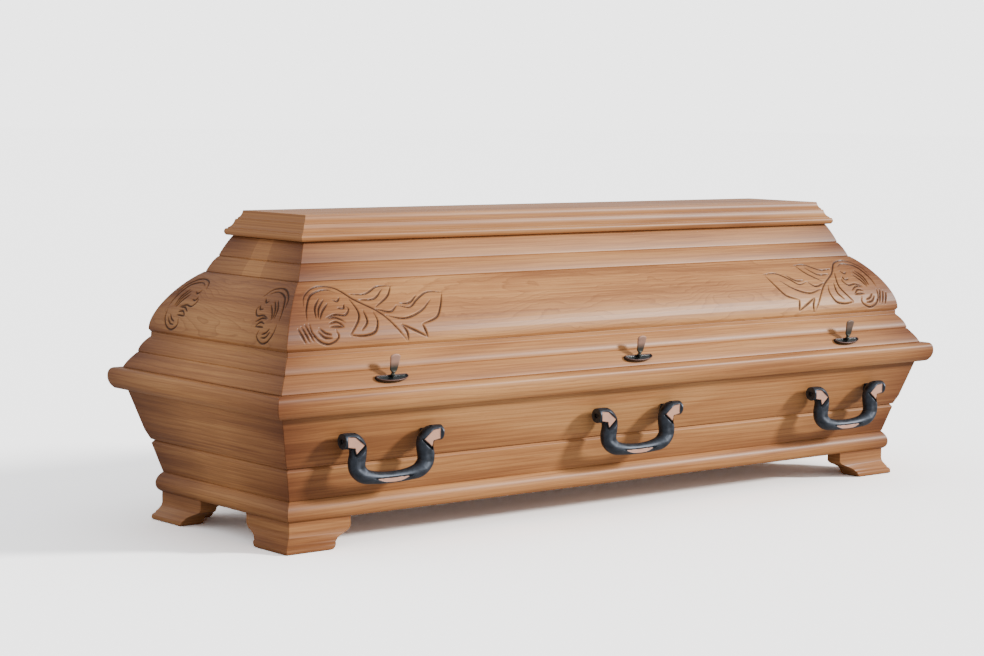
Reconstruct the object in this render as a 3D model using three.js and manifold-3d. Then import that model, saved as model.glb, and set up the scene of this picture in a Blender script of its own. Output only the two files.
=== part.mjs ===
// A wooden coffin: a base with sloped walls on four bracket feet, and a raised lid with carved panels.
// Six handles swing on the long sides, and six wing screws hold the lid down.
// Millimetres, +Z up. X runs along the length. The origin is on the floor, under the middle.
import * as THREE from 'three';
import { mergeVertices } from 'three/addons/utils/BufferGeometryUtils.js';
import Module from 'manifold-3d';

const wasm = await Module();
wasm.setup();

// Plan: every moulding has the same outline on all four sides, mitred at the corners.
// A half width w at some level means a half length of w + END_EXTRA at the same level.
const END_EXTRA = 689;
const MITRE_GAP = 0.2;

// Levels of the joints between the pieces, from the floor up. A joint gap parts two stacked pieces.
const JOINT_GAP = 0.3;
const FOOT_TOP = 65;
const PLINTH_TOP = 110;
const WALL_TOP = 297.3;
const RIM_TOP = 347;
const MOULDING_TOP = 430;
const PANEL_TOP = 568;
const FRIEZE_TOP = 650.5;
const LID_TOP = 708;

// Half widths of the main forms.
const FOOT_WIDE = 271;
const WALL_FOOT = 252;
const WALL_HEAD = 310;
const WALL_THICK = 26;
const RIM_WIDE = 343;
const RIM_INSIDE = 284;
const MOULDING_FOOT = 317;
const PANEL_SEAT = 271.5;
const PANEL_FOOT = 275.5;
const PANEL_HEAD = 185;
const FRIEZE_FOOT = 182;
const FRIEZE_HEAD = 139;
const CORNICE_WIDE = 153;
const TOP_WIDE = 122;
const BOARD_THICK = 27;
const TOP_BOARD_THICK = 24;
const FLOOR_THICK = 22;

// The wall's upper face, which the handles' holders stand on, as [half width, level].
const WALL_FACE_TOP = [307.5, 289];
const WALL_FACE_FOOT = [282.3, 206];

// Straight pieces in each curve of a moulding, and in the curve of a cushion panel.
const CURVE_STEPS = 3;
const PANEL_STEPS = 4;

// A foot's face leans out from its neck to its toe, and its two arms shorten towards the floor.
const FOOT_ARM_TOP = 180;
const FOOT_ARM_FLOOR = 120;
const FOOT_THICK = 60;
const FOOT_LEVELS = [0, 4, 13, 17, 22, 28, 33, 40, FOOT_TOP - JOINT_GAP];
const FOOT_FACE = [268, FOOT_WIDE, 269.5, 264.5, 261.5, 257.5, 255, 253.5, 253.5];
const FOOT_ARM = [FOOT_ARM_FLOOR, 125, 130, 133, 139, 152, 168, FOOT_ARM_TOP - 3, FOOT_ARM_TOP];

// Handles: three on each long side, each swinging about a line along X.
const HANDLE_SPACING = 722;
const PIVOT_OUT = 320;
const PIVOT_LEVEL = 240;
const HANDLE_HALF = 132;
const PIN_RADIUS = 3.4;
const BORE_RADIUS = 4.4;
const PIN_SIDES = 6;
const PIN_RECESS = 2;
const LUG_PLACE = 102;
const LUG_THICK = 5;
const LUG_HALF = 7;
const LUG_TURN = 60;
const FLANGE_WIDE = 12;
const FLANGE_HALF = 9;
const FLANGE_THICK = 4;
const SLOT_CLEAR = 0.5;
const SLOT_REACH = 30;
const SWING_IN = 22;
const SWING_OUT = 90;

// Half of a handle's middle line, from the end of its barrel to the middle of the grip.
// Each entry is [x, z, half height].
const BAIL_LINE = [
  [HANDLE_HALF, 0, 17], [116, 0, 17.5], [101, -3, 19], [91, -15, 20], [90, -31, 19.5],
  [93, -47, 20], [91, -62, 19], [76, -77, 17], [48, -84, 14], [0, -87, 12.8],
];
const BAIL_SIDES = 8;
const BAIL_STEPS = 14;
const BAIL_DEPTH = 17.5;

// Wing screws and their half-moon plates, on the lower step of the lid's foot moulding.
// A plate is a dish with a rim, thicker below than above. Its hole is a little above its middle.
const SCREW_ASIDE = 6;
const STEP_TOP = [294, 382.5];
const STEP_FOOT = [MOULDING_FOOT, 349];
const PLATE_HALF = 43;
const PLATE_RISE = 8;
const PLATE_DROP = 11;
const PLATE_ROUND = 6;
const PLATE_THICK_ABOVE = 7;
const PLATE_THICK_BELOW = 13;
const PLATE_RIM = 3;
const DISH_DEPTH = 3;
const PLATE_SHIFT = [2, -2.5];
const SCREW_TILT = 12;
const SCREW_BELOW = 45;
const SHANK_ABOVE = 8;
const SHANK_RADIUS = 3;
const HOLE_RADIUS = 3.4;
const HOLE_DEEPER = 1;
const HOLE_ABOVE = 5;
const CUT_PAST = 20;

// Half of the blade's outline and half of the beads' outline, as [half width, place along the screw].
const BLADE_HALF = [[3, 11], [9.2, 17], [13.2, 46], [11, 50]];
const BLADE_TIP = 53;
const BLADE_THICK = 5;
const BEADS = [[0, 4], [4.8, 6.2], [4.8, 8.4], [3.6, 10.2], [4.6, 12], [0, 15]];
const BEAD_SIDES = 6;

// The ends carry the scroll a little smaller than the long sides.
const END_NARROW = 0.87;
const END_LOW = 0.95;

// Carving: V-shaped grooves, in the coordinates of one corner of the cushion panel.
// The first number is the distance from the corner along the side, the second the way up the surface.
const GROOVE_WIDTH = 6;
const GROOVE_DEPTH = 3.4;
const GROOVE_LIFT = 3.5;
const TAPER_END = 0.35;
const NEAR_END = 0.01;

const WOOD = { color: 0xb9834f, roughness: 0.42, metalness: 0 };
const DARK_WOOD = { color: 0xa8734a, roughness: 0.45, metalness: 0 };
const GUNMETAL = { color: 0x3c4348, roughness: 0.42, metalness: 0.85 };
const COPPER = { color: 0x8a6a58, roughness: 0.38, metalness: 0.85 };

const radians = THREE.MathUtils.degToRad;

// Moves every vertex by a rule.
function warp(geometry, rule) {
  const places = geometry.attributes.position;
  for (let i = 0; i < places.count; i += 1) {
    places.setXYZ(i, ...rule(places.getX(i), places.getY(i), places.getZ(i)));
  }
  return geometry;
}

// Merges the shared vertices, so that the faces close on each other.
function welded(geometry) {
  geometry.deleteAttribute('normal');
  geometry.deleteAttribute('uv');
  geometry.clearGroups();
  return mergeVertices(geometry, 1e-3);
}

function solidOf(geometry) {
  const closed = welded(geometry);
  return new wasm.Manifold(new wasm.Mesh({
    numProp: 3,
    vertProperties: new Float32Array(closed.attributes.position.array),
    triVerts: new Uint32Array(closed.index.array),
  }));
}

function geometryOf(solid) {
  const mesh = solid.getMesh();
  const geometry = new THREE.BufferGeometry();
  geometry.setAttribute('position', new THREE.BufferAttribute(new Float32Array(mesh.vertProperties), 3));
  geometry.setIndex(Array.from(mesh.triVerts));
  return geometry;
}

// An outline drawn with lines and curves, as [half width, level] pairs.
function outline(draw, divisions) {
  const path = new THREE.Path();
  draw(path);
  return path.getPoints(divisions).map((point) => [point.x, point.y]);
}

// Where a point of an outline lies on one of the four sides; run is the place along that side.
const SIDES = {
  front: { along: END_EXTRA, place: (w, run) => [-run, -w] },
  back: { along: END_EXTRA, place: (w, run) => [run, w] },
  left: { along: 0, place: (w, run) => [-(w + END_EXTRA), run] },
  right: { along: 0, place: (w, run) => [w + END_EXTRA, -run] },
};

// One mitred board of a frame: the outline runs the whole side, and each corner is cut at 45 degrees.
function mitredBoard(points, side) {
  const { along, place } = SIDES[side];
  const shape = new THREE.Shape(points.map(([w, level]) => new THREE.Vector2(w, level)));
  const bar = new THREE.ExtrudeGeometry(shape, { depth: 1, bevelEnabled: false });
  return warp(bar, (w, level, t) => {
    const run = (2 * t - 1) * (w + along - MITRE_GAP);
    return [...place(w, run), level];
  });
}

// Top board: its edge is moulded, and its underside is hollow inside the frieze.
function topBoardOutline() {
  return outline((path) => {
    path.moveTo(0, LID_TOP);
    path.lineTo(TOP_WIDE, LID_TOP);
    path.quadraticCurveTo(TOP_WIDE + 2, 695, 131, 690);
    path.lineTo(134, 688);
    path.quadraticCurveTo(138, 672, 149, 667);
    path.quadraticCurveTo(CORNICE_WIDE + 3, 659, 149, 652);
    path.lineTo(FRIEZE_HEAD, FRIEZE_TOP + JOINT_GAP);
    path.lineTo(FRIEZE_HEAD - BOARD_THICK, FRIEZE_TOP + JOINT_GAP);
    path.lineTo(FRIEZE_HEAD - BOARD_THICK, LID_TOP - TOP_BOARD_THICK);
    path.lineTo(0, LID_TOP - TOP_BOARD_THICK);
  }, CURVE_STEPS);
}

function topBoard() {
  const points = topBoardOutline().reverse().map(([w, level]) => new THREE.Vector2(w * Math.SQRT2, level));
  const board = new THREE.LatheGeometry(points, 4, Math.PI / 4);
  board.rotateX(Math.PI / 2);
  return warp(board, (x, y, z) => [x + Math.sign(Math.round(x)) * END_EXTRA, y, z]);
}

function friezeOutline() {
  return outline((path) => {
    path.moveTo(FRIEZE_HEAD - BOARD_THICK, FRIEZE_TOP);
    path.lineTo(FRIEZE_HEAD, FRIEZE_TOP);
    path.quadraticCurveTo(152, 630, 161.5, 606);
    path.lineTo(160, 604.5);
    path.lineTo(163, 603);
    path.quadraticCurveTo(173, 592, FRIEZE_FOOT, 570);
    path.lineTo(FRIEZE_FOOT, PANEL_TOP + JOINT_GAP);
    path.lineTo(FRIEZE_FOOT - BOARD_THICK, PANEL_TOP + JOINT_GAP);
  }, CURVE_STEPS);
}

// The visible face of a cushion panel, from its foot up.
function panelFace() {
  return outline((path) => {
    path.moveTo(PANEL_SEAT, MOULDING_TOP);
    path.lineTo(PANEL_FOOT, 436);
    path.bezierCurveTo(PANEL_FOOT, 476, 228, 540, PANEL_HEAD, PANEL_TOP);
  }, PANEL_STEPS);
}

function panelOutline() {
  const inside = [[PANEL_HEAD - BOARD_THICK, PANEL_TOP], [PANEL_FOOT - BOARD_THICK, MOULDING_TOP]];
  return [...panelFace(), ...inside];
}

function mouldingOutline() {
  return outline((path) => {
    path.moveTo(PANEL_FOOT - BOARD_THICK, MOULDING_TOP - JOINT_GAP);
    path.lineTo(PANEL_SEAT, MOULDING_TOP - JOINT_GAP);
    path.lineTo(PANEL_SEAT, 420);
    path.quadraticCurveTo(290.7, 401.5, 293, 385);
    path.lineTo(291.5, 383.8);
    path.lineTo(...STEP_TOP);
    path.lineTo(...STEP_FOOT);
    path.lineTo(MOULDING_FOOT, RIM_TOP + JOINT_GAP);
    path.lineTo(RIM_INSIDE, RIM_TOP + JOINT_GAP);
  }, CURVE_STEPS);
}

function rimOutline() {
  return outline((path) => {
    path.moveTo(RIM_INSIDE, RIM_TOP);
    path.lineTo(331, RIM_TOP);
    path.quadraticCurveTo(RIM_WIDE, 346, RIM_WIDE, 327);
    path.quadraticCurveTo(RIM_WIDE, 310, 331, 299.5);
    path.lineTo(322, WALL_TOP + JOINT_GAP);
    path.lineTo(RIM_INSIDE, WALL_TOP + JOINT_GAP);
  }, CURVE_STEPS);
}

// The wall has a V-groove along it, between two flat faces.
function wallOutline() {
  return outline((path) => {
    path.moveTo(WALL_HEAD - WALL_THICK, WALL_TOP);
    path.lineTo(WALL_HEAD, WALL_TOP);
    path.lineTo(...WALL_FACE_TOP);
    path.lineTo(...WALL_FACE_FOOT);
    path.lineTo(272, 184.5);
    path.lineTo(265.5, 183);
    path.lineTo(271, 176);
    path.lineTo(WALL_FOOT, PLINTH_TOP + JOINT_GAP);
    path.lineTo(WALL_FOOT - WALL_THICK, PLINTH_TOP + JOINT_GAP);
  }, 1);
}

function plinthOutline() {
  return outline((path) => {
    path.moveTo(WALL_FOOT - WALL_THICK, PLINTH_TOP);
    path.lineTo(WALL_FOOT, PLINTH_TOP);
    path.quadraticCurveTo(264.5, 98, 264.5, 84);
    path.quadraticCurveTo(264.5, 70, 254, FOOT_TOP);
    path.lineTo(WALL_FOOT - WALL_THICK, FOOT_TOP);
  }, CURVE_STEPS);
}

function floorBoard() {
  const inside = WALL_FOOT - WALL_THICK - JOINT_GAP;
  const board = new THREE.BoxGeometry(2 * (inside + END_EXTRA), 2 * inside, FLOOR_THICK);
  return board.translate(0, 0, FOOT_TOP + FLOOR_THICK / 2);
}

// A corner foot: one band bent round the corner, from the end of one arm to the end of the other.
function bracketFoot(signX, signY) {
  const steps = FOOT_LEVELS.length - 1;
  const band = new THREE.BoxGeometry(2, steps, 2, 2, steps, 1);
  const foot = warp(band, (arm, row, depth) => {
    const k = Math.round(row + steps / 2);
    const w = depth > 0 ? FOOT_FACE[k] : FOOT_WIDE - FOOT_THICK;
    const armEnd = FOOT_WIDE - FOOT_ARM[k];
    const acrossX = arm > 0.5 ? armEnd : w;
    const acrossY = arm < -0.5 ? armEnd : w;
    return [-(acrossX + END_EXTRA), -acrossY, FOOT_LEVELS[k]];
  });
  const solid = solidOf(foot);
  const turned = signX * signY > 0 ? solid : solid.mirror([0, 1, 0]);
  return geometryOf(signX > 0 ? turned.rotate([0, 0, 180]) : turned);
}

// Carving: an open stroke becomes a V-shaped cutter that follows the panel's face.
function faceWalker(face) {
  const lengths = [0];
  for (let i = 1; i < face.length; i += 1) {
    const step = Math.hypot(face[i][0] - face[i - 1][0], face[i][1] - face[i - 1][1]);
    lengths.push(lengths[i - 1] + step);
  }
  return (up, out) => {
    let i = 1;
    while (i < face.length - 1 && lengths[i] < up) i += 1;
    const along = (up - lengths[i - 1]) / (lengths[i] - lengths[i - 1]);
    const dw = face[i][0] - face[i - 1][0];
    const dz = face[i][1] - face[i - 1][1];
    const norm = Math.hypot(dw, dz);
    const w = face[i - 1][0] + dw * along + (out * dz) / norm;
    const level = face[i - 1][1] + dz * along - (out * dw) / norm;
    return [w, level];
  };
}

// A stroke tapers from its middle to both of its ends.
function strokeTaper(t) {
  return TAPER_END + (1 - TAPER_END) * Math.sin(Math.PI * THREE.MathUtils.clamp(t, 0, 1)) ** 0.5;
}

function grooveCutter(stroke, walk) {
  const path = new THREE.SplineCurve(stroke.points.map(([q, s]) => new THREE.Vector2(q, s)));
  const flank = GROOVE_WIDTH / 2 / GROOVE_DEPTH;
  const section = new THREE.Shape([
    new THREE.Vector2(-1, 1),
    new THREE.Vector2(0, -1),
    new THREE.Vector2(1, 1),
  ]);
  const bar = new THREE.ExtrudeGeometry(section, { depth: 1, steps: stroke.steps, bevelEnabled: false });
  return solidOf(warp(bar, (side, height, t) => {
    const middle = path.getPoint(t);
    const ahead = path.getTangent(THREE.MathUtils.clamp(t, NEAR_END, 1 - NEAR_END));
    const deep = GROOVE_DEPTH * strokeTaper(t);
    const reach = side * flank * (deep + GROOVE_LIFT);
    const out = height > 0 ? GROOVE_LIFT : -deep;
    const [w, level] = walk(middle.y + ahead.x * reach, out);
    const q = middle.x - ahead.y * reach;
    return [q - PANEL_FOOT - END_EXTRA, -w, level];
  }));
}

// Straight strokes that repeat side by side, each set off a little from the last.
function strokeRow(count, start, startStep, end, endStep) {
  const strokes = [];
  for (let i = 0; i < count; i += 1) {
    const from = [start[0] + startStep[0] * i, start[1] + startStep[1] * i];
    const to = [end[0] + endStep[0] * i, end[1] + endStep[1] * i];
    strokes.push({ points: [from, to], steps: 1 });
  }
  return strokes;
}

// The main lines of the scroll: its crown, the volute at its foot and the lip.
function scrollLines() {
  return [
    { points: [[65, 70], [74, 95], [103, 133], [140, 146], [170, 135]], steps: 3 },
    { points: [[68, 62], [70, 38], [88, 19], [112, 14], [136, 28], [132, 44]], steps: 4 },
    { points: [[176, 103], [182, 92], [168, 77], [141, 79], [115, 71]], steps: 3 },
  ];
}

// The fine strokes of the scroll: combed strokes, two waves and the volute's eye.
function scrollStrokes() {
  return [
    { points: [[90, 50], [119, 28]], steps: 1 },
    ...strokeRow(3, [113, 119], [9, -5], [88, 76], [6, -2]),
    ...strokeRow(2, [120, 72], [0, -12], [161, 61], [-5, -11]),
  ];
}

// Tally strokes stand between the corner and the scroll on the long sides.
function tallyStrokes() {
  return strokeRow(3, [36, 51], [10, 4.5], [49, 19], [10.5, 1.5]);
}

// The long side adds a stem, two leaves above it and one below it.
function leafLines() {
  return [
    { points: [[69, 103], [84, 130], [128, 156], [170, 150], [206, 115], [262, 76], [318, 8]], steps: 6 },
    { points: [[205, 130], [242, 128], [287, 148], [327, 147]], steps: 2 },
    { points: [[323, 145], [300, 117], [255, 91]], steps: 2 },
    { points: [[251, 88], [290, 79], [313, 94]], steps: 2 },
    { points: [[313, 94], [345, 87], [374, 106], [410, 124], [455, 122]], steps: 3 },
    { points: [[450, 119], [430, 85], [409, 59], [365, 45]], steps: 2 },
    { points: [[194, 119], [204, 83], [197, 60], [167, 30]], steps: 3 },
    { points: [[168, 29], [205, 27], [233, 34], [247, 60], [243, 82]], steps: 3 },
  ];
}

// The leaves' middle ribs and the two barbs below the great leaf.
function leafStrokes() {
  return [
    { points: [[217, 113], [260, 114], [294, 139]], steps: 2 },
    { points: [[365, 45], [374, 15]], steps: 1 },
    { points: [[374, 16], [308, 48]], steps: 1 },
    { points: [[308, 48], [320, 9]], steps: 1 },
    { points: [[272, 71], [320, 61], [372, 76], [411, 104]], steps: 2 },
    { points: [[218, 87], [219, 58], [200, 39]], steps: 2 },
  ];
}

// The ends keep only the scroll, under a shorter stem, and both are a little smaller.
function endStrokes(fine) {
  const stem = { points: [[69, 103], [84, 130], [128, 156], [170, 150], [188, 126]], steps: 3 };
  const strokes = [...scrollLines(), ...(fine ? scrollStrokes() : []), stem];
  return strokes.map(({ points, steps }) => ({
    points: points.map(([q, s]) => [q * END_NARROW, s * END_LOW]),
    steps,
  }));
}

function motif(strokes, walk) {
  return wasm.Manifold.union(strokes.map((stroke) => grooveCutter(stroke, walk)));
}

// Each panel carries the motif at both of its ends, the second one mirrored.
// The back and the right end are plainer: they have the main lines alone, and the right end its stem.
function carvedPanels() {
  const walk = faceWalker(panelFace());
  const toEnd = (cutter) => {
    const centred = cutter.translate([END_EXTRA, 0, 0]);
    return centred.mirror([1, -1, 0]).translate([-END_EXTRA, 0, 0]);
  };
  const mainLines = [...scrollLines(), ...leafLines()];
  const front = motif([...mainLines, ...scrollStrokes(), ...tallyStrokes(), ...leafStrokes()], walk);
  const back = motif(mainLines, walk).mirror([0, 1, 0]);
  const left = toEnd(motif(endStrokes(true), walk));
  const right = toEnd(motif(endStrokes(false), walk)).mirror([1, 0, 0]);
  const cutters = {
    front: [front, front.mirror([1, 0, 0])],
    back: [back, back.mirror([1, 0, 0])],
    left: [left, left.mirror([0, 1, 0])],
    right: [right, right.mirror([0, 1, 0])],
  };
  const panels = {};
  for (const side of Object.keys(SIDES)) {
    let panel = solidOf(mitredBoard(panelOutline(), side));
    for (const cutter of cutters[side]) panel = panel.subtract(cutter);
    panels[side] = geometryOf(panel);
  }
  return panels;
}

// Turns a shape drawn in (y, z) into a slab across X.
function slabAcross(points, thick, middle) {
  const shape = new THREE.Shape(points.map(([y, z]) => new THREE.Vector2(y, z)));
  const slab = new THREE.ExtrudeGeometry(shape, { depth: thick, bevelEnabled: false });
  return warp(slab, (y, z, x) => [middle + x - thick / 2, y, z]);
}

function pinAcross(radius, from, to) {
  const pin = new THREE.CylinderGeometry(radius, radius, to - from, PIN_SIDES);
  return pin.rotateZ(Math.PI / 2).translate((from + to) / 2, 0, 0);
}

// Room that the holder's lug needs inside the barrel, through the whole swing.
function slotOutline() {
  const half = LUG_HALF + SLOT_CLEAR;
  const turn = (angle, along, aside) => [
    along * Math.cos(radians(angle)) - aside * Math.sin(radians(angle)),
    along * Math.sin(radians(angle)) + aside * Math.cos(radians(angle)),
  ];
  return [
    turn(-SWING_IN, SLOT_REACH, -half),
    [SLOT_REACH, SLOT_REACH],
    turn(SWING_OUT, SLOT_REACH, half),
    turn(SWING_OUT, 0, half),
    turn((SWING_OUT - SWING_IN) / 2, -half, 0),
    turn(-SWING_IN, 0, -half),
  ];
}

// The handle: one casting bent like an omega, thick at its elbows and flatter at its grip.
function bail() {
  const right = BAIL_LINE.map(([x, z, half]) => new THREE.Vector3(x, z, half));
  const left = right.slice(0, -1).map((point) => new THREE.Vector3(-point.x, point.y, point.z));
  const line = new THREE.CatmullRomCurve3([...left, ...right.reverse()], false, 'centripetal');
  const rod = new THREE.CylinderGeometry(1, 1, 1, BAIL_SIDES, BAIL_STEPS);
  const body = solidOf(warp(rod, (a, t, b) => {
    const middle = line.getPoint(t + 0.5);
    const ahead = line.getTangent(t + 0.5);
    const run = Math.hypot(ahead.x, ahead.y);
    const half = middle.z;
    const x = middle.x - (ahead.y / run) * a * half;
    const z = middle.y + (ahead.x / run) * a * half;
    return [x, b * Math.min(BAIL_DEPTH, half), z];
  }));
  let casting = body;
  for (const sign of [-1, 1]) {
    const slot = slabAcross(slotOutline(), LUG_THICK + 2 * SLOT_CLEAR, sign * LUG_PLACE);
    const inner = sign * LUG_PLACE;
    const outer = sign * (HANDLE_HALF + CUT_PAST);
    const bore = pinAcross(BORE_RADIUS, Math.min(inner, outer), Math.max(inner, outer));
    casting = casting.subtract(solidOf(slot)).subtract(solidOf(bore));
  }
  return geometryOf(casting);
}

// A holder is a small flange on the wall, with a lug and a pin that carries one end of the handle.
function holder(sign) {
  const slope = (WALL_FACE_TOP[0] - WALL_FACE_FOOT[0]) / (WALL_FACE_TOP[1] - WALL_FACE_FOOT[1]);
  const wallAtPivot = WALL_FACE_FOOT[0] + (PIVOT_LEVEL - WALL_FACE_FOOT[1]) * slope;
  const wallAway = PIVOT_OUT - wallAtPivot - JOINT_GAP;
  const lean = slope * FLANGE_HALF;
  const flange = [
    [wallAway + lean, -FLANGE_HALF],
    [wallAway - lean, FLANGE_HALF],
    [wallAway - lean - FLANGE_THICK, FLANGE_HALF],
    [wallAway + lean - FLANGE_THICK, -FLANGE_HALF],
  ];
  const root = wallAway - FLANGE_THICK / 2;
  const lug = [[root, -LUG_HALF], [root, LUG_HALF]];
  for (let angle = 90; angle <= 270; angle += LUG_TURN) {
    lug.push([LUG_HALF * Math.cos(radians(angle)), LUG_HALF * Math.sin(radians(angle))]);
  }
  const inner = sign * LUG_PLACE;
  const outer = sign * (HANDLE_HALF - PIN_RECESS);
  const pin = pinAcross(PIN_RADIUS, Math.min(inner, outer), Math.max(inner, outer));
  return geometryOf(wasm.Manifold.union([
    solidOf(slabAcross(flange, FLANGE_WIDE, sign * LUG_PLACE)),
    solidOf(slabAcross(lug, LUG_THICK, sign * LUG_PLACE)),
    solidOf(pin),
  ]));
}

// The frame of a plate: a point just below the middle of the lower step, and the step's two directions.
function stepFrame() {
  const [topW, topZ] = STEP_TOP;
  const [footW, footZ] = STEP_FOOT;
  const long = Math.hypot(topW - footW, topZ - footZ);
  const up = [(topW - footW) / long, (topZ - footZ) / long];
  const middle = [(topW + footW) / 2 + PLATE_SHIFT[0], (topZ + footZ) / 2 + PLATE_SHIFT[1]];
  return { middle, up, out: [up[1], -up[0]] };
}

// How thick the plate is at the height v above its frame's point, measured out from the step.
function plateThickness(v) {
  const down = (PLATE_RISE - v) / (PLATE_RISE + PLATE_DROP);
  return PLATE_THICK_ABOVE + (PLATE_THICK_BELOW - PLATE_THICK_ABOVE) * down;
}

// A point of the plate as [half width, level]: v runs up the step, n out from it.
function platePoint(v, n) {
  const { middle, up, out } = stepFrame();
  return [middle[0] + up[0] * v + out[0] * n, middle[1] + up[1] * v + out[1] * n];
}

// Stands a piece that is built upright along +Z on the screw's line, at the front.
// Its zero is where the line meets the dish.
function alongScrew(geometry) {
  const [w, z] = platePoint(0, plateThickness(0) - DISH_DEPTH);
  return geometry.rotateX(radians(SCREW_TILT)).translate(0, -w, z);
}

function shank(radius, below, above) {
  const rod = new THREE.CylinderGeometry(radius, radius, below + above, PIN_SIDES);
  rod.rotateX(Math.PI / 2);
  return alongScrew(rod.translate(0, 0, (above - below) / 2));
}

// The plate's outline, drawn in from its edge by a margin: straight above, round below.
function halfMoon(margin) {
  const half = PLATE_HALF - margin;
  const rise = PLATE_RISE - margin;
  const drop = PLATE_DROP - margin;
  const corner = PLATE_ROUND - margin;
  const shape = new THREE.Shape();
  shape.moveTo(corner - half, rise);
  shape.lineTo(-half, rise - corner);
  shape.bezierCurveTo(-half, -drop / 2, -half / 2, -drop, 0, -drop);
  shape.bezierCurveTo(half / 2, -drop, half, -drop / 2, half, rise - corner);
  shape.lineTo(half - corner, rise);
  shape.closePath();
  return shape;
}

// A slab on the step, with the half moon as its outline; its face follows the plate's thickness.
function moonSlab(margin, inner, outer) {
  const slab = new THREE.ExtrudeGeometry(halfMoon(margin), {
    depth: 1,
    bevelEnabled: false,
    curveSegments: CURVE_STEPS,
  });
  return solidOf(warp(slab, (x, v, t) => {
    const [w, z] = platePoint(v, t > 0 ? outer(v) : inner(v));
    return [x, -w, z];
  }));
}

// A half-moon plate: a thick dish with a rim, open at the screw's hole.
function plate() {
  const floor = (v) => plateThickness(v) - DISH_DEPTH;
  const past = (v) => plateThickness(v) + DISH_DEPTH;
  const block = moonSlab(0, () => JOINT_GAP, plateThickness);
  const dish = moonSlab(PLATE_RIM, floor, past);
  return geometryOf(block.subtract(dish).subtract(solidOf(shank(HOLE_RADIUS, CUT_PAST, CUT_PAST))));
}

// A wing screw: a shank in the wood, two beads, and a flat blade that widens upwards to a low gable.
function wingScrew() {
  const beads = new THREE.LatheGeometry(BEADS.map(([r, a]) => new THREE.Vector2(r, a)), BEAD_SIDES);
  beads.rotateX(Math.PI / 2);
  const bladeShape = new THREE.Shape([
    ...BLADE_HALF.map(([x, a]) => new THREE.Vector2(x, a)),
    new THREE.Vector2(0, BLADE_TIP),
    ...BLADE_HALF.slice().reverse().map(([x, a]) => new THREE.Vector2(-x, a)),
  ]);
  const blade = new THREE.ExtrudeGeometry(bladeShape, { depth: BLADE_THICK, bevelEnabled: false });
  blade.translate(0, 0, -BLADE_THICK / 2).rotateX(Math.PI / 2);
  return geometryOf(wasm.Manifold.union([
    solidOf(shank(SHANK_RADIUS, SCREW_BELOW, SHANK_ABOVE)),
    solidOf(alongScrew(beads)),
    solidOf(alongScrew(blade)),
  ]));
}

// The foot moulding and the rim of a long side are bored for the three screws.
function boredBoard(points, side) {
  let board = solidOf(mitredBoard(points, side));
  for (const i of [-1, 0, 1]) {
    const bore = solidOf(shank(HOLE_RADIUS, SCREW_BELOW + HOLE_DEEPER, HOLE_ABOVE));
    let hole = bore.translate([i * HANDLE_SPACING + SCREW_ASIDE, 0, 0]);
    if (side === 'back') hole = hole.rotate([0, 0, 180]);
    board = board.subtract(hole);
  }
  return geometryOf(board);
}

const coffin = new THREE.Group();

function add(name, geometry, finish, parent = coffin) {
  const mesh = new THREE.Mesh(welded(geometry.clone()), new THREE.MeshStandardMaterial(finish));
  mesh.name = name;
  parent.add(mesh);
}

// Lid.
add('lid_top_board', topBoard(), WOOD);
const panels = carvedPanels();
for (const side of Object.keys(SIDES)) {
  const long = side === 'front' || side === 'back';
  add(`lid_frieze_${side}`, mitredBoard(friezeOutline(), side), WOOD);
  add(`lid_panel_${side}`, panels[side], WOOD);
  add(`lid_moulding_${side}`, (long ? boredBoard : mitredBoard)(mouldingOutline(), side), WOOD);
}

// Base.
for (const side of Object.keys(SIDES)) {
  const long = side === 'front' || side === 'back';
  add(`base_rim_${side}`, (long ? boredBoard : mitredBoard)(rimOutline(), side), WOOD);
  add(`base_wall_${side}`, mitredBoard(wallOutline(), side), WOOD);
  add(`base_plinth_${side}`, mitredBoard(plinthOutline(), side), WOOD);
}
add('base_floor', floorBoard(), DARK_WOOD);
for (const [side, signY] of [['front', -1], ['back', 1]]) {
  add(`foot_${side}_left`, bracketFoot(-1, signY), WOOD);
  add(`foot_${side}_right`, bracketFoot(1, signY), WOOD);
}

// Fittings: the back ones are the front ones turned half round.
const bailGeometry = bail();
const holderGeometry = { left: holder(-1), right: holder(1) };
const plateGeometry = plate();
const screwGeometry = wingScrew();
for (const side of ['front', 'back']) {
  const turned = new THREE.Group();
  turned.rotation.z = side === 'front' ? 0 : Math.PI;
  coffin.add(turned);
  for (const i of [1, 2, 3]) {
    const station = new THREE.Group();
    station.position.x = (i - 2) * HANDLE_SPACING;
    turned.add(station);
    const pivot = new THREE.Group();
    pivot.position.set(0, -PIVOT_OUT, PIVOT_LEVEL);
    station.add(pivot);
    add(`handle_${side}_${i}`, bailGeometry, GUNMETAL, pivot);
    add(`holder_${side}_${i}_a`, holderGeometry.left, GUNMETAL, pivot);
    add(`holder_${side}_${i}_b`, holderGeometry.right, GUNMETAL, pivot);
    const aside = new THREE.Group();
    aside.position.x = SCREW_ASIDE;
    station.add(aside);
    add(`screw_plate_${side}_${i}`, plateGeometry, GUNMETAL, aside);
    add(`wing_screw_${side}_${i}`, screwGeometry, COPPER, aside);
  }
}

export default coffin;
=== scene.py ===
import math

import bmesh
import bpy
import numpy as np
from mathutils import Matrix, Vector


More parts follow.
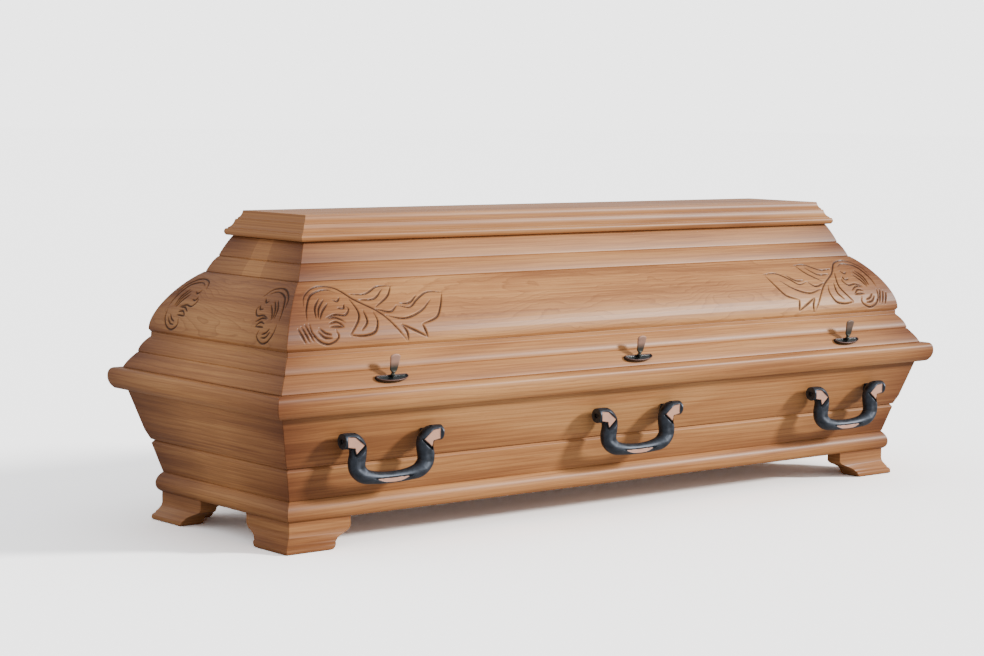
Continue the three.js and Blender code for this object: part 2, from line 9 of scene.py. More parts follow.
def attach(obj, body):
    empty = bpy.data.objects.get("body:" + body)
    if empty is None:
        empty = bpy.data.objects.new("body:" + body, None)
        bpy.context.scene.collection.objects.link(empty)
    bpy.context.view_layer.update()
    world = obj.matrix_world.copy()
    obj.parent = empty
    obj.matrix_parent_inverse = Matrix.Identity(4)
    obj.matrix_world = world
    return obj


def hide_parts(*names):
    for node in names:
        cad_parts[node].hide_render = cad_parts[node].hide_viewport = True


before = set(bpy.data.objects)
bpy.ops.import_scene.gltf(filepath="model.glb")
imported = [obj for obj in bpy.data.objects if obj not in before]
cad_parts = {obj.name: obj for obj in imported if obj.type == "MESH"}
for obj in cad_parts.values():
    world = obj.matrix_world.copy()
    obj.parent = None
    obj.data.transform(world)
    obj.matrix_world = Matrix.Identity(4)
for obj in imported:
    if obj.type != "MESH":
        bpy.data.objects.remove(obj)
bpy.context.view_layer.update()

# A wooden coffin with moulded, mitred boards, a carved cushion lid, swinging handles and wing screws.
# Outlines are in millimetres, as half width and level; MM turns them into metres.
MM = 0.001
BODY = "coffin"

# Plan: a half width w at some level means a half length of w + END_EXTRA at the same level.
END_EXTRA = 689
MITRE_GAP = 0.2
JOINT_GAP = 0.3

# Levels of the joints between the boards.
FOOT_TOP = 65
PLINTH_TOP = 110
WALL_TOP = 297.3
RIM_TOP = 347
MOULDING_TOP = 430
PANEL_TOP = 568
FRIEZE_TOP = 650.5
LID_TOP = 708
TOP_BOARD_THICK = 24

# Half widths of the main forms.
WALL_FOOT = 252
WALL_HEAD = 310
WALL_THICK = 26
BOARD_THICK = 27
RIM_WIDE = 343
RIM_INSIDE = 284
MOULDING_FOOT = 317
PANEL_SEAT = 271.5
PANEL_FOOT = 275.5
PANEL_HEAD = 185
FRIEZE_FOOT = 182
FRIEZE_HEAD = 139
FOOT_WIDE = 271
FOOT_THICK = 60
WALL_FACE_TOP = (307.5, 289)
WALL_FACE_FOOT = (282.3, 206)

# Fineness of the boards: the softening of their edges, which takes at most a share of each neighbouring side,
# and the least turn in degrees that counts as a corner.
CURVE_STEPS = 14
EDGE_SOFT = 1.3
EDGE_STEPS = 3
EDGE_SHARE = 0.45
CORNER_TURN = 16

# The small chamfer at each mitre: its length, how far it draws the outline in, and the carved panels' steps
# over it, as distance from the mitre and depth. The last are shares of its length.
MITRE_SOFT = 0.8
MITRE_DRAW = 0.7
MITRE_STEPS = [(0, 0.6), (0.5, 0.2), (1, 0)]

# How the darker colour near the mitres, stain with painted shade, fades away from them, as distance and
# strength, up to a share of the half length.
STAIN_AND_SHADE_FADE = [(0, 1), (60, 0.72), (150, 0.36), (330, 0)]
STAIN_AND_SHADE_END = 0.2
# Painted shade over the whole top board.
TOP_SHADE = 0.2
# Painted shade over the whole of each foot.
FOOT_SHADE = 0.45

# Edges turning more than this, in degrees, stay crisp in the shading.
BOARD_CRISP = 40
CARVED_CRISP = 50
HANDLE_CRISP = 38

# Each board's place in the grain, so that no two are alike.
BAND_SEED = 1.7
SIDE_SEED = 0.53
PANEL_SEED = 9.1
PANEL_SIDE_SEED = 0.77
TOP_SEED = 20.0
FOOT_SEED = 30.0
FOOT_NEXT_SEED = 0.9

# Carving: the groove's half width and depth, its share of both at a stroke's ends and its section's power,
# then the spacing of points along a stroke, of the carved grid and of the plain middle's columns.
# The ends carry the scroll a little smaller than the long sides.
GROOVE_HALF = 3.1
GROOVE_DEPTH = 3.2
GROOVE_END = 0.3
GROOVE_POWER = 0.9
STROKE_STEP = 1.0
GRID = 1.5
PLAIN_STEP = 60
SPLINE_STEPS = 40
PANEL_BACK_GRAIN = (30, 200)
MOTIF_END = 475
MOTIF_END_SHORT = 190
END_NARROW = 0.87
END_LOW = 0.95

# Feet: the profile round each corner and the curved bracket at the end of each arm, from the floor up.
FOOT_FACE = [
    (268, 0), (271, 2.5), (271, 5), (270.5, 10), (269.5, 13), (266, 14.5), (264.5, 17), (263.6, 20),
    (261.5, 22), (257.5, 28), (255, 33), (253.5, 40), (253.5, FOOT_TOP - JOINT_GAP),
]
FOOT_ARM = [
    (118, 0), (123, 2), (127.5, 7), (130, 13), (133, 17), (139, 22), (152, 28), (168, 33.5),
    (176, 37.5), (177, 40), (180, 42), (180, FOOT_TOP - JOINT_GAP),
]
FOOT_ROWS = 30
FOOT_SOFT = 1.2

# Handles: three on each long side, each swinging about a line along X.
HANDLE_SPACING = 722
PIVOT_OUT = 320
PIVOT_LEVEL = 240
HANDLE_HALF = 132
BORE_RADIUS = 4.4
BORE_SIDES = 32
BORE_PAST = 10
LUG_PLACE = 102
LUG_ROOM = 6
LUG_HALF = 7.5
SLOT_REACH = 30
SWING_IN = 22
SWING_OUT = 90

# Half of a handle's middle line, from the end of its barrel to the middle of the grip: x, z, half height.
BAIL_LINE = [
    (HANDLE_HALF, 0, 17), (116, 0, 17.5), (101, -3, 19), (91, -15, 20), (90, -31, 19.5),
    (93, -47, 20), (91, -62, 19), (76, -77, 17), (48, -84, 14), (0, -87, 12.8),
]
BAIL_DEPTH = 17.5
BAIL_STEP = 1.28
BAIL_ROUND = 88
DISC_SOFT = 1.4

# The rubbed flat on each arm, as distance in from the barrel's end and height, and the notch that ends it.
FLAT_OUTLINE = [(8, 10), (28, 7.5), (54, -13), (29, -33), (25, -17.5), (9, -15)]
NOTCH_LINE = [(56, -11), (29, -33), (25, -17.5)]
FLAT_OUT = 12
FLAT_SLOPE = 1.3
NOTCH_HALF = 3
NOTCH_DEPTH = 6
NOTCH_SLOPE = 4.5

# The hollow along an arm and the rubbed lens under the grip.
VALLEY_HALF = 12
VALLEY_DEPTH = 3.6
VALLEY_TOP = -32
VALLEY_TOP_FADE = 12
VALLEY_FOOT = -76
VALLEY_FOOT_FADE = 16
LENS_HALF = 43
LENS_DROP = 9.5
LENS_TOP = -87
LENS_OUT = 9.5
LENS_STEP = 1.6
LENS_STEP_HALF = 1.5

# Where a handle is rubbed to copper: how softly that ends, and how near the level of a flat or the lens.
RUB_SOFT = 0.6
FLAT_RUB_START = 0.4
FLAT_RUB_NEAR = 0.6
LENS_RUB_START = 0.2
LENS_RUB_NEAR = 1.2

# Where a handle is painted dark as shade, in its notches, under the lens's step and in its bores, and how
# deep its end is.
NOTCH_DARK = 1.2
NOTCH_DARK_BACK = 4
NOTCH_DARK_FRONT = 0.2
STEP_DARK = 1.3
STEP_DARK_SHORT = 4
STEP_DARK_BACK = 5
BORE_DARK = 0.2
END_DEEP = 0.6

# Wing screws and their half-moon plates, on the lower step of the lid's foot moulding.
SCREW_ASIDE = 6
STEP_TOP = (294, 382.5)
STEP_FOOT = (MOULDING_FOOT, 349)
PLATE_SHIFT = (2, -2.5)
PLATE_HALF = 43
PLATE_RISE = 8
PLATE_DROP = 11
PLATE_ROUND = 6
PLATE_THICK_ABOVE = 7
PLATE_THICK_BELOW = 13
PLATE_CURVE = 14
PLATE_BACK = 0.3
DISH_DEPTH = 3
HOLE_RADIUS = 3.4
SCREW_TILT = 12

# Loops over the plate, from its back edge over the rim into the dish: margin, and height from the face.
# The rim is rubbed above a height and outside a margin.
PLATE_LOOPS = [
    (0, -2), (0.1, -1.3), (0.5, -0.5), (1.2, -0.05), (2, -0.1), (2.7, -0.7), (3.1, -1.6), (3.5, -2.4),
    (4.3, -2.9), (5, -DISH_DEPTH),
]
RIM_RUB_HEIGHT = -1.4
RIM_RUB_MARGIN = 3

# A screw's outline along its own line: place, half width, half thickness and squareness.
SCREW_LINE = [
    (-45, 2.6, 2.6, 2), (-44, 3, 3, 2), (3.6, 3, 3, 2), (4.2, 3.6, 3.6, 2), (5.4, 4.7, 4.7, 2),
    (6.4, 5, 5, 2), (7.6, 5, 5, 2), (8.6, 4.6, 4.6, 2), (9.6, 3.7, 3.7, 2), (10.2, 3.5, 3.5, 2),
    (11, 4, 3.9, 2.2), (12.2, 5, 4.2, 2.4), (13.6, 6, 3.8, 2.8), (15.2, 7.8, 3.1, 3.4), (17, 9.2, 2.6, 4),
    (26, 10.5, 2.4, 4.5), (36, 11.9, 2.4, 4.5), (46, 13.2, 2.4, 4.5),
    (47.6, 12.9, 2.4, 4), (49.4, 11.7, 2.3, 3.6), (50.8, 9.6, 2.1, 3.2),
    (52, 6.4, 1.8, 2.8), (52.8, 2.4, 1.1, 2.2), (53, 0.6, 0.4, 2),
]
SCREW_NECK = 3
SCREW_SIDES = 40
SCREW_ROWS = 150

# How each of a side's three blades turns to copper: from and to a place on its line, and how fully.
COPPER_FROM = 22
COPPER_FULL = 36
COPPER_SHARE = (1.0, 0.9, 0.35)

# Colours: the wood, its growth lines, the painted shade in the carving's grooves, the stain with painted
# shade, and the painted shade in the metals' hollows.
WOOD_DARK = (0.35, 0.143, 0.053, 1)
WOOD_MIDDLE = (0.51, 0.227, 0.083, 1)
WOOD_LIGHT = (0.63, 0.312, 0.120, 1)
WOOD_RING = (0.20, 0.066, 0.024, 1)
WOOD_GROOVE_SHADE = (0.045, 0.015, 0.007, 1)
WOOD_STAIN_AND_SHADE = (0.40, 0.31, 0.32, 1)
METAL_SHADE = (0.008, 0.008, 0.009, 1)

# The wood's noises: scale along, across and between boards, detail, roughness and distortion.
DRIFT = ((1.6, 7, 3), 2, 0.5, 0.3)
GNARL = ((9, 24, 5), 3, 0.55, 0.5)
ZONES = ((1.2, 15, 4), 3, 0.55, 0.4)
STREAKS = ((2.6, 230, 6), 4, 0.65, 0.0)
FIBRES = ((16, 1100, 7), 3, 0.6, 0.0)
PORES = ((60, 1700, 11), 1, 0.5, 0.0)
GNARL_SHARE = 0.12
ZONE_SHARE = 0.55
STREAK_SHARE = 0.45
FIBRE_SHARE = 0.5

# The varnish: a weak sheen and a thin coat.
VARNISH_SPECULAR = 0.12
VARNISH_COAT = 0.07
VARNISH_COAT_ROUGH = 0.24

# The metals' noises by scale, and how the rubbed places lose their metal look and gain roughness.
CLOUD_SCALE = 60
GRIT_SCALE = 850
# How strongly the painted shade darkens the marked hollows.
METAL_SHADE_SHARE = 0.85
RUBBED_LESS_METAL = 0.6
RUBBED_ROUGHER = 0.14
CAST_UNEVEN = 0.06

# Floor, surroundings and light: how they light the coffin, and how bright they look themselves.
FLOOR_HALF_M = 60
FLOOR_BOUNCE = 0.5
FLOOR_SEEN = 2.3
WORLD_LIGHT = 0.9
WORLD_TINT = (0.97, 0.98, 1, 1)
WORLD_SEEN = 3.3
KEY_DIRECTION = (0.70, -0.60, 0.385)
KEY_STRENGTH = 4.3
KEY_ANGLE = 9
KEY_TINT = (1, 0.98, 0.95)

# The camera: a long lens, to the left of the front, looking slightly down.
CAMERA_YAW = 39.66
CAMERA_PITCH = 5.531
CAMERA_ROLL = 0.72
CAMERA_PLACE_M = (-3.7077, -4.2529, 0.9544)
CAMERA_SENSOR = 36
CAMERA_LENS = 85.05

STATIONS = [(side, i) for side in ("front", "back") for i in (1, 2, 3)]


# Outlines

def line(*points):
    """A run of straight pieces through the points."""
    return [tuple(map(float, p)) for p in points]


def curve(*controls):
    """A Bezier curve of any degree, without its first point."""
    controls = np.array(controls, float)
    found = []
    for t in np.linspace(0, 1, CURVE_STEPS + 1)[1:]:
        level = controls
        while len(level) > 1:
            level = level[:-1] * (1 - t) + level[1:] * t
        found.append(tuple(level[0]))
    return found


def softened(points, soft=EDGE_SOFT, closed=True):
    """Rounds the sharp corners of an outline, and leaves the points of its curves."""
    count = len(points)
    found = []
    for i in range(count):
        if not closed and i in (0, count - 1):
            found.append(tuple(points[i]))
            continue
        here = np.array(points[i])
        before = np.array(points[i - 1]) - here
        after = np.array(points[(i + 1) % count]) - here
        long_before, long_after = np.hypot(*before), np.hypot(*after)
        turn = math.pi - math.acos(np.clip(before @ after / (long_before * long_after), -1, 1))
        if turn < math.radians(CORNER_TURN):
            found.append(tuple(here))
            continue
        back = min(soft, EDGE_SHARE * long_before, EDGE_SHARE * long_after)
        start = here + before / long_before * back
        end = here + after / long_after * back
        for k in range(EDGE_STEPS + 1):
            t = k / EDGE_STEPS
            found.append(tuple((1 - t) ** 2 * start + 2 * t * (1 - t) * here + t * t * end))
    return found


def top_board_outline():
    low = FRIEZE_TOP + JOINT_GAP
    inside = FRIEZE_HEAD - BOARD_THICK
    points = line((0, LID_TOP), (122, LID_TOP))
    points += curve((122, LID_TOP), (124, 695), (130.5, 691.5))
    points += line((130.5, 688.5), (134.5, 688.5))
    points += curve((134.5, 688.5), (137.5, 673), (146.5, 669.5))
    points += line((146.5, 667), (150, 667))
    points += curve((150, 667), (156, 659), (149, 652))
    points += line((FRIEZE_HEAD, low), (inside, low), (inside, LID_TOP - TOP_BOARD_THICK))
    return points + line((0, LID_TOP - TOP_BOARD_THICK))


def frieze_outline():
    low = PANEL_TOP + JOINT_GAP
    points = line((FRIEZE_HEAD - BOARD_THICK, FRIEZE_TOP), (FRIEZE_HEAD, FRIEZE_TOP))
    points += curve((FRIEZE_HEAD, FRIEZE_TOP), (152, 630), (161.5, 606))
    points += line((160, 604.5), (163, 603))
    points += curve((163, 603), (173, 592), (FRIEZE_FOOT, 570))
    return points + line((FRIEZE_FOOT, low), (FRIEZE_FOOT - BOARD_THICK, low))


def panel_face():
    points = line((PANEL_SEAT, MOULDING_TOP), (PANEL_FOOT, 436))
    controls = [(PANEL_FOOT, 436), (PANEL_FOOT, 476), (228, 540), (PANEL_HEAD, PANEL_TOP)]
    return points + curve(*controls)


def moulding_outline():
    points = line((PANEL_FOOT - BOARD_THICK, MOULDING_TOP - JOINT_GAP))
    points += line((PANEL_SEAT, MOULDING_TOP - JOINT_GAP), (PANEL_SEAT, 420))
    points += curve((PANEL_SEAT, 420), (290.7, 401.5), (293, 385))
    points += line((291.5, 383.8), (294, 382.5))
    points += curve((294, 382.5), (311.5, 362.5), (MOULDING_FOOT, 349))
    return points + line((MOULDING_FOOT, RIM_TOP + JOINT_GAP), (RIM_INSIDE, RIM_TOP + JOINT_GAP))


def rim_outline():
    low = WALL_TOP + JOINT_GAP
    points = line((RIM_INSIDE, RIM_TOP), (331, RIM_TOP))
    points += curve((331, RIM_TOP), (RIM_WIDE, 346), (RIM_WIDE, 327))
    points += curve((RIM_WIDE, 327), (RIM_WIDE, 310), (331, 299.5))
    return points + line((322, low), (RIM_INSIDE, low))


def wall_outline():
    low = PLINTH_TOP + JOINT_GAP
    points = line((WALL_HEAD - WALL_THICK, WALL_TOP), (WALL_HEAD, WALL_TOP))
    points += line(WALL_FACE_TOP, WALL_FACE_FOOT, (272, 184.5), (265.5, 183), (271, 176))
    return points + line((WALL_FOOT, low), (WALL_FOOT - WALL_THICK, low))


def plinth_outline():
    inside = WALL_FOOT - WALL_THICK
    points = line((inside, PLINTH_TOP), (WALL_FOOT, PLINTH_TOP))
    points += curve((WALL_FOOT, PLINTH_TOP), (264.5, 98), (264.5, 84))
    points += curve((264.5, 84), (264.5, 70), (254, FOOT_TOP))
    return points + line((inside, FOOT_TOP))


# Meshes

SIDES = {
    "front": (END_EXTRA, lambda w, run: (-run, -w)),
    "back": (END_EXTRA, lambda w, run: (run, w)),
    "left": (0, lambda w, run: (-(w + END_EXTRA), run)),
    "right": (0, lambda w, run: (w + END_EXTRA, -run)),
}


def add_vectors(mesh, name, values):
    """Stores a vector on each point, which the materials read by its name."""
    layer = mesh.attributes.new(name, "FLOAT_VECTOR", "POINT")
    layer.data.foreach_set("vector", np.asarray(values, np.float32).ravel())


def smooth(mesh, angle):
    """Shades smoothly, and keeps the edges sharper than the angle crisp."""
    mesh.shade_smooth()
    mesh.set_sharp_from_angle(angle=math.radians(angle))


def new_piece(node, mesh, body=BODY, place=None):
    """The fine mesh of a node; a place stands a piece that was built at the front in its own spot."""
    piece = bpy.data.objects.new(f"fine_{node}", mesh)
    bpy.context.scene.collection.objects.link(piece)
    if place is not None:
        piece.matrix_world = place
    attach(piece, body)
    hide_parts(node)


def wood_piece(node, mesh, material, crisp=BOARD_CRISP):
    smooth(mesh, crisp)
    mesh.materials.append(material)
    new_piece(node, mesh)


def outline_lengths(points):
    closed = np.array(list(points) + [points[0]])
    steps = np.hypot(*np.diff(closed, axis=0).T)
    return np.concatenate([[0], np.cumsum(steps)])


def outline_normals(points):
    """Outward directions of a closed outline."""
    p = np.array(points)
    ahead = np.roll(p, -1, axis=0) - np.roll(p, 1, axis=0)
    ahead /= np.maximum(np.hypot(*ahead.T), 1e-9)[:, None]
    area = np.sum(p[:, 0] * np.roll(p[:, 1], -1) - np.roll(p[:, 0], -1) * p[:, 1])
    sign = 1 if area > 0 else -1
    return sign * np.stack([ahead[:, 1], -ahead[:, 0]], -1)


def grid_faces(rows, columns, wrap):
    """Quads between neighbouring rows and columns; wrap closes each row on itself."""
    faces = []
    last = columns if wrap else columns - 1
    for r in range(rows - 1):
        for c in range(last):
            d = (c + 1) % columns
            faces.append((r * columns + c, r * columns + d, (r + 1) * columns + d, (r + 1) * columns + c))
    return faces


def end_faces(rows, columns):
    """The flat caps on the first and the last row of closed rows."""
    return [tuple(range(columns)), tuple(range((rows - 1) * columns, rows * columns))]


def closed_mesh(name, places, faces, grain=None):
    """A mesh with its faces turned outwards; on wood, the grain's direction is stored on its points."""
    mesh = bpy.data.meshes.new(name)
    mesh.from_pydata([tuple(p) for p in places], [], faces)
    if grain is not None:
        add_vectors(mesh, "grain", grain)
    work = bmesh.new()
    work.from_mesh(mesh)
    bmesh.ops.recalc_face_normals(work, faces=work.faces)
    work.to_mesh(mesh)
    work.free()
    return mesh


def mitred_board(name, points, side, seed):
    """A board with the outline all along it, cut at 45 degrees at both ends, with a fine chamfer there."""
    along, place = SIDES[side]
    points = softened(points)
    normals = outline_normals(points)
    lengths = outline_lengths(points)
    count = len(points)
    # The rings near each end carry the stain with painted shade, strongest at the mitre.
    cuts = [(MITRE_SOFT, 0, 1)] + [(0, max(back, MITRE_SOFT), share) for back, share in STAIN_AND_SHADE_FADE]
    rings = [(-1, *cut) for cut in cuts] + [(1, *cut) for cut in reversed(cuts)]
    places, grain, marks = [], [], []
    for end, inset, back, share in rings:
        for i in range(count):
            w = points[i][0] - normals[i][0] * inset * MITRE_DRAW
            level = points[i][1] - normals[i][1] * inset * MITRE_DRAW
            half = w + along - MITRE_GAP
            run = end * max(half - back, STAIN_AND_SHADE_END * half)
            places.append((*place(w, run), level))
            grain.append((run * MM, lengths[i] * MM, seed))
            marks.append((0, share, 0))
    faces = grid_faces(len(rings), count, True) + end_faces(len(rings), count)
    mesh = closed_mesh(name, np.array(places) * MM, faces, grain)
    add_vectors(mesh, "marks", marks)
    return mesh


# Carving, in the coordinates of one corner of a cushion panel: the distance from the corner along the side,
# and the way up the surface.

def stroke_row(count, start, start_step, end, end_step):
    """Straight strokes that repeat side by side."""
    found = []
    for i in range(count):
        found.append([(start[0] + start_step[0] * i, start[1] + start_step[1] * i),
                      (end[0] + end_step[0] * i, end[1] + end_step[1] * i)])
    return found


def scroll_lines():
    return [
        [(65, 70), (74, 95), (103, 133), (148, 145), (170, 135)],
        [(68, 62), (70, 40), (88, 19), (112, 14), (136, 28), (132, 44)],
        [(175, 104), (170, 94), (154, 95)],
        [(176, 100), (182, 92), (168, 77), (141, 79), (115, 72)],
    ]


def scroll_strokes():
    return [
        [(90, 50), (102, 39), (118, 34)],
        [(84, 43), (98, 29), (119, 26)],
        [(118, 122), (97, 98), (90, 73)],
        [(129, 119), (106, 96), (96, 73)],
        [(134, 108), (112, 88), (99, 70)],
        [(150, 117), (160, 112), (172, 122)],
        [(119, 71), (140, 72), (162, 61)],
        [(120, 59), (140, 62), (156, 50)],
        [(119, 51), (134, 51), (156, 50)],
    ]


def tally_strokes():
    return stroke_row(3, (36, 51), (10, 4.5), (49, 19), (10.5, 1.5))


def leaf_lines():
    return [
        [(69, 103), (84, 130), (128, 156), (170, 150), (206, 115), (262, 76), (318, 8)],
        [(197, 130), (242, 128), (287, 148), (327, 147)],
        [(322, 147), (300, 120), (255, 92)],
        [(251, 88), (290, 79), (313, 94)],
        [(313, 94), (345, 87), (374, 106), (410, 124), (455, 122)],
        [(450, 120), (430, 85), (409, 59), (365, 45)],
        [(194, 119), (204, 83), (200, 67), (167, 30)],
        [(167, 30), (205, 27), (233, 34), (247, 60), (242, 82)],
    ]


def leaf_strokes():
    return [
        [(217, 113), (260, 114), (294, 139)],
        [(365, 45), (374, 15)],
        [(374, 15), (340, 32), (308, 48)],
        [(308, 48), (319, 28), (320, 9)],
        [(321, 98), (350, 99), (378, 118)],
        [(272, 71), (320, 61), (372, 76), (411, 104)],
        [(218, 87), (219, 58), (200, 39)],
    ]


def end_strokes(fine):
    """The ends keep the scroll under a shorter stem, both a little smaller."""
    stem = [(69, 103), (84, 130), (128, 156), (170, 150), (188, 126)]
    strokes = scroll_lines() + [stem] + (scroll_strokes() if fine else [])
    return [[(q * END_NARROW, s * END_LOW) for q, s in stroke] for stroke in strokes]


# The back and the right end are plainer: they have the main lines alone.
FRONT_CARVING = scroll_lines() + scroll_strokes() + tally_strokes() + leaf_lines() + leaf_strokes()
CARVING = {
    "front": (FRONT_CARVING, MOTIF_END),
    "back": (scroll_lines() + leaf_lines(), MOTIF_END),
    "left": (end_strokes(True), MOTIF_END_SHORT),
    "right": (end_strokes(False), MOTIF_END_SHORT),
}


def smooth_line(points, spacing):
    """Evenly spaced points on a smooth curve through the given ones."""
    p = np.array(points, float)
    p = np.vstack([2 * p[0] - p[1], p, 2 * p[-1] - p[-2]])
    knots = np.concatenate([[0], np.cumsum(np.linalg.norm(np.diff(p, axis=0), axis=1) ** 0.5)])
    found = []
    for i in range(1, len(p) - 2):
        t = np.linspace(knots[i], knots[i + 1], SPLINE_STEPS, endpoint=False)[:, None]
        near = p[i - 1:i + 3]
        k = knots[i - 1:i + 3]
        for spans in (((0, 1), (1, 2), (2, 3)), ((0, 2), (1, 3)), ((1, 2),)):
            near = [((k[b] - t) * near[j] + (t - k[a]) * near[j + 1]) / (k[b] - k[a])
                    for j, (a, b) in enumerate(spans)]
        found.append(near[0])
    path = np.vstack(found + [p[-2:-1]])
    lengths = np.concatenate([[0], np.cumsum(np.linalg.norm(np.diff(path, axis=0), axis=1))])
    places = np.linspace(0, lengths[-1], max(3, int(lengths[-1] / spacing) + 1))
    return np.stack([np.interp(places, lengths, path[:, k]) for k in range(path.shape[1])], -1)


def carved_depth(q, s, strokes):
    """How deep the grooves cut at each point, in millimetres."""
    depth = np.zeros(q.shape)
    for stroke in strokes:
        path = smooth_line(stroke, STROKE_STEP)
        t = np.linspace(0, 1, len(path))
        taper = GROOVE_END + (1 - GROOVE_END) * np.sqrt(np.sin(np.pi * t))
        low, high = path.min(0) - GROOVE_HALF, path.max(0) + GROOVE_HALF
        near = (q > low[0]) & (q < high[0]) & (s > low[1]) & (s < high[1])
        dq = q[near][:, None] - path[None, :, 0]
        ds = s[near][:, None] - path[None, :, 1]
        away = np.sqrt(dq ** 2 + ds ** 2) / (GROOVE_HALF * taper[None, :])
        cut = GROOVE_DEPTH * taper[None, :] * np.clip(1 - away, 0, 1) ** GROOVE_POWER
        depth[near] = np.maximum(depth[near], cut.max(1))
    return depth


def panel_runs(half, half_run, strokes_end):
    """Where each row's columns lie along the panel: dense at both carved ends, wide in the plain middle."""
    reach = half_run - strokes_end
    dense = int(strokes_end / GRID)
    sparse = int(reach / PLAIN_STEP)
    runs = [half - back * MITRE_SOFT for back, _ in MITRE_STEPS]
    for k in range(1, dense + 1):
        runs.append((half - MITRE_SOFT) * (1 - k / dense) + reach * (k / dense))
    for k in range(1, sparse + 1):
        runs.append(np.full(half.shape, reach * (1 - k / sparse)))
    runs = np.array(runs)
    return np.vstack([runs, -runs[:-1][::-1]]).T


def carved_panel(name, side, strokes, strokes_end, seed):
    """A cushion panel: a fine carved face, with a plain back."""
    along, place = SIDES[side]
    face = np.array(panel_face())
    lengths = np.concatenate([[0], np.cumsum(np.hypot(*np.diff(face, axis=0).T))])
    rows = int(lengths[-1] / GRID)
    s = np.linspace(0, lengths[-1], rows)
    w = np.interp(s, lengths, face[:, 0])
    level = np.interp(s, lengths, face[:, 1])
    nw, nz = np.gradient(level, s), -np.gradient(w, s)
    norm = np.hypot(nw, nz)
    nw, nz = nw / norm, nz / norm
    half = w + along - MITRE_GAP
    runs = panel_runs(half, PANEL_FOOT + along, strokes_end)
    q = PANEL_FOOT + along - np.abs(runs)
    depth = carved_depth(q, np.repeat(s[:, None], q.shape[1], 1), strokes)
    edge = np.zeros(q.shape)
    for k, (_, inset) in enumerate(MITRE_STEPS):
        edge[:, [k, -1 - k]] = inset * MITRE_SOFT
    cut = depth + edge
    face_w = w[:, None] - nw[:, None] * cut
    face_z = level[:, None] - nz[:, None] * cut
    back = [(-1, PANEL_HEAD - BOARD_THICK, PANEL_TOP), (0, PANEL_FOOT - BOARD_THICK, MOULDING_TOP)]
    for edge_row, back_w, back_z in back:
        row = runs[edge_row] / half[edge_row] * (back_w + along - MITRE_GAP)
        runs = np.vstack([runs, row])
        face_w = np.vstack([face_w, np.full(row.shape, back_w)])
        face_z = np.vstack([face_z, np.full(row.shape, back_z)])
    total_rows, total_columns = runs.shape
    places = np.stack([*place(face_w, runs), face_z], -1)
    up = np.concatenate([s, lengths[-1] + np.array(PANEL_BACK_GRAIN)])
    up = np.repeat(up[:, None], total_columns, 1)
    grain = np.stack([runs * MM, up * MM, np.full(runs.shape, seed)], -1)
    faces = grid_faces(total_rows, total_columns, False)
    last = (total_rows - 1) * total_columns
    for c in range(total_columns - 1):
        faces.append((last + c, last + c + 1, c + 1, c))
    for c in (0, total_columns - 1):
        faces.append(tuple(r * total_columns + c for r in range(total_rows)))
    mesh = closed_mesh(name, places.reshape(-1, 3) * MM, faces, grain.reshape(-1, 3))
    marks = np.zeros((total_rows * total_columns, 3))
    # The first mark is each groove's depth, which the wood turns into painted shade.
    marks[:, 0] = np.clip(np.vstack([depth, np.zeros((2, total_columns))]).ravel() / GROOVE_DEPTH, 0, 1)
    # Stain with painted shade, fading away from the mitres.
    from_mitre = np.abs(runs[:, -1:]) - np.abs(runs)
    marks[:, 1] = np.interp(from_mitre, *zip(*STAIN_AND_SHADE_FADE)).ravel()
    add_vectors(mesh, "marks", marks)
    return mesh


# Materials

def node(tree, kind, **values):
    """A shader node with its settings and its plain socket values."""
    made = tree.nodes.new(kind)
    for key, value in values.items():
        if hasattr(made, key):
            setattr(made, key, value)
        else:
            made.inputs[key.replace("_", " ")].default_value = value
    return made


def mix_colours(tree, share, first, second, blend="MIX"):
    made = tree.nodes.new("ShaderNodeMix")
    made.data_type = "RGBA"
    made.blend_type = blend
    for index, value in ((0, share), (6, first), (7, second)):
        if isinstance(value, bpy.types.NodeSocket):
            tree.links.new(value, made.inputs[index])
        else:
            made.inputs[index].default_value = value
    return made.outputs[2]


def maths(tree, operation, first, second=None, clamp=False):
    made = tree.nodes.new("ShaderNodeMath")
    made.operation = operation
    made.use_clamp = clamp
    for index, value in enumerate((first, second)):
        if isinstance(value, bpy.types.NodeSocket):
            tree.links.new(value, made.inputs[index])
        elif value is not None:
            made.inputs[index].default_value = value
    return made.outputs[0]


def ramp(tree, fac, stops):
    made = tree.nodes.new("ShaderNodeValToRGB")
    tree.links.new(fac, made.inputs[0])
    elements = made.color_ramp.elements
    while len(elements) < len(stops):
        elements.new(0.5)
    for element, (place, colour) in zip(elements, stops):
        element.position = place
        element.color = colour
    return made.outputs[0]


def grey(value):
    return (value, value, value, 1)


def scaled(tree, vector, scale):
    made = tree.nodes.new("ShaderNodeMapping")
    tree.links.new(vector, made.inputs["Vector"])
    made.inputs["Scale"].default_value = scale
    return made.outputs[0]


def noise(tree, vector, scale, detail=3.0, roughness=0.5, distortion=0.0):
    made = node(tree, "ShaderNodeTexNoise", Scale=scale, Detail=detail, Roughness=roughness,
                Distortion=distortion)
    tree.links.new(vector, made.inputs["Vector"])
    return made.outputs["Fac"]


def grain_noise(tree, grain, recipe):
    """Noise that is stretched along the grain."""
    stretch, detail, roughness, distortion = recipe
    return noise(tree, scaled(tree, grain, stretch), 1.0, detail, roughness, distortion)


def base_material(name):
    material = bpy.data.materials.new(name)
    material.use_nodes = True
    tree = material.node_tree
    return material, tree, tree.nodes["Principled BSDF"]


def attribute(tree, name):
    made = tree.nodes.new("ShaderNodeAttribute")
    made.attribute_name = name
    return made.outputs["Vector"]


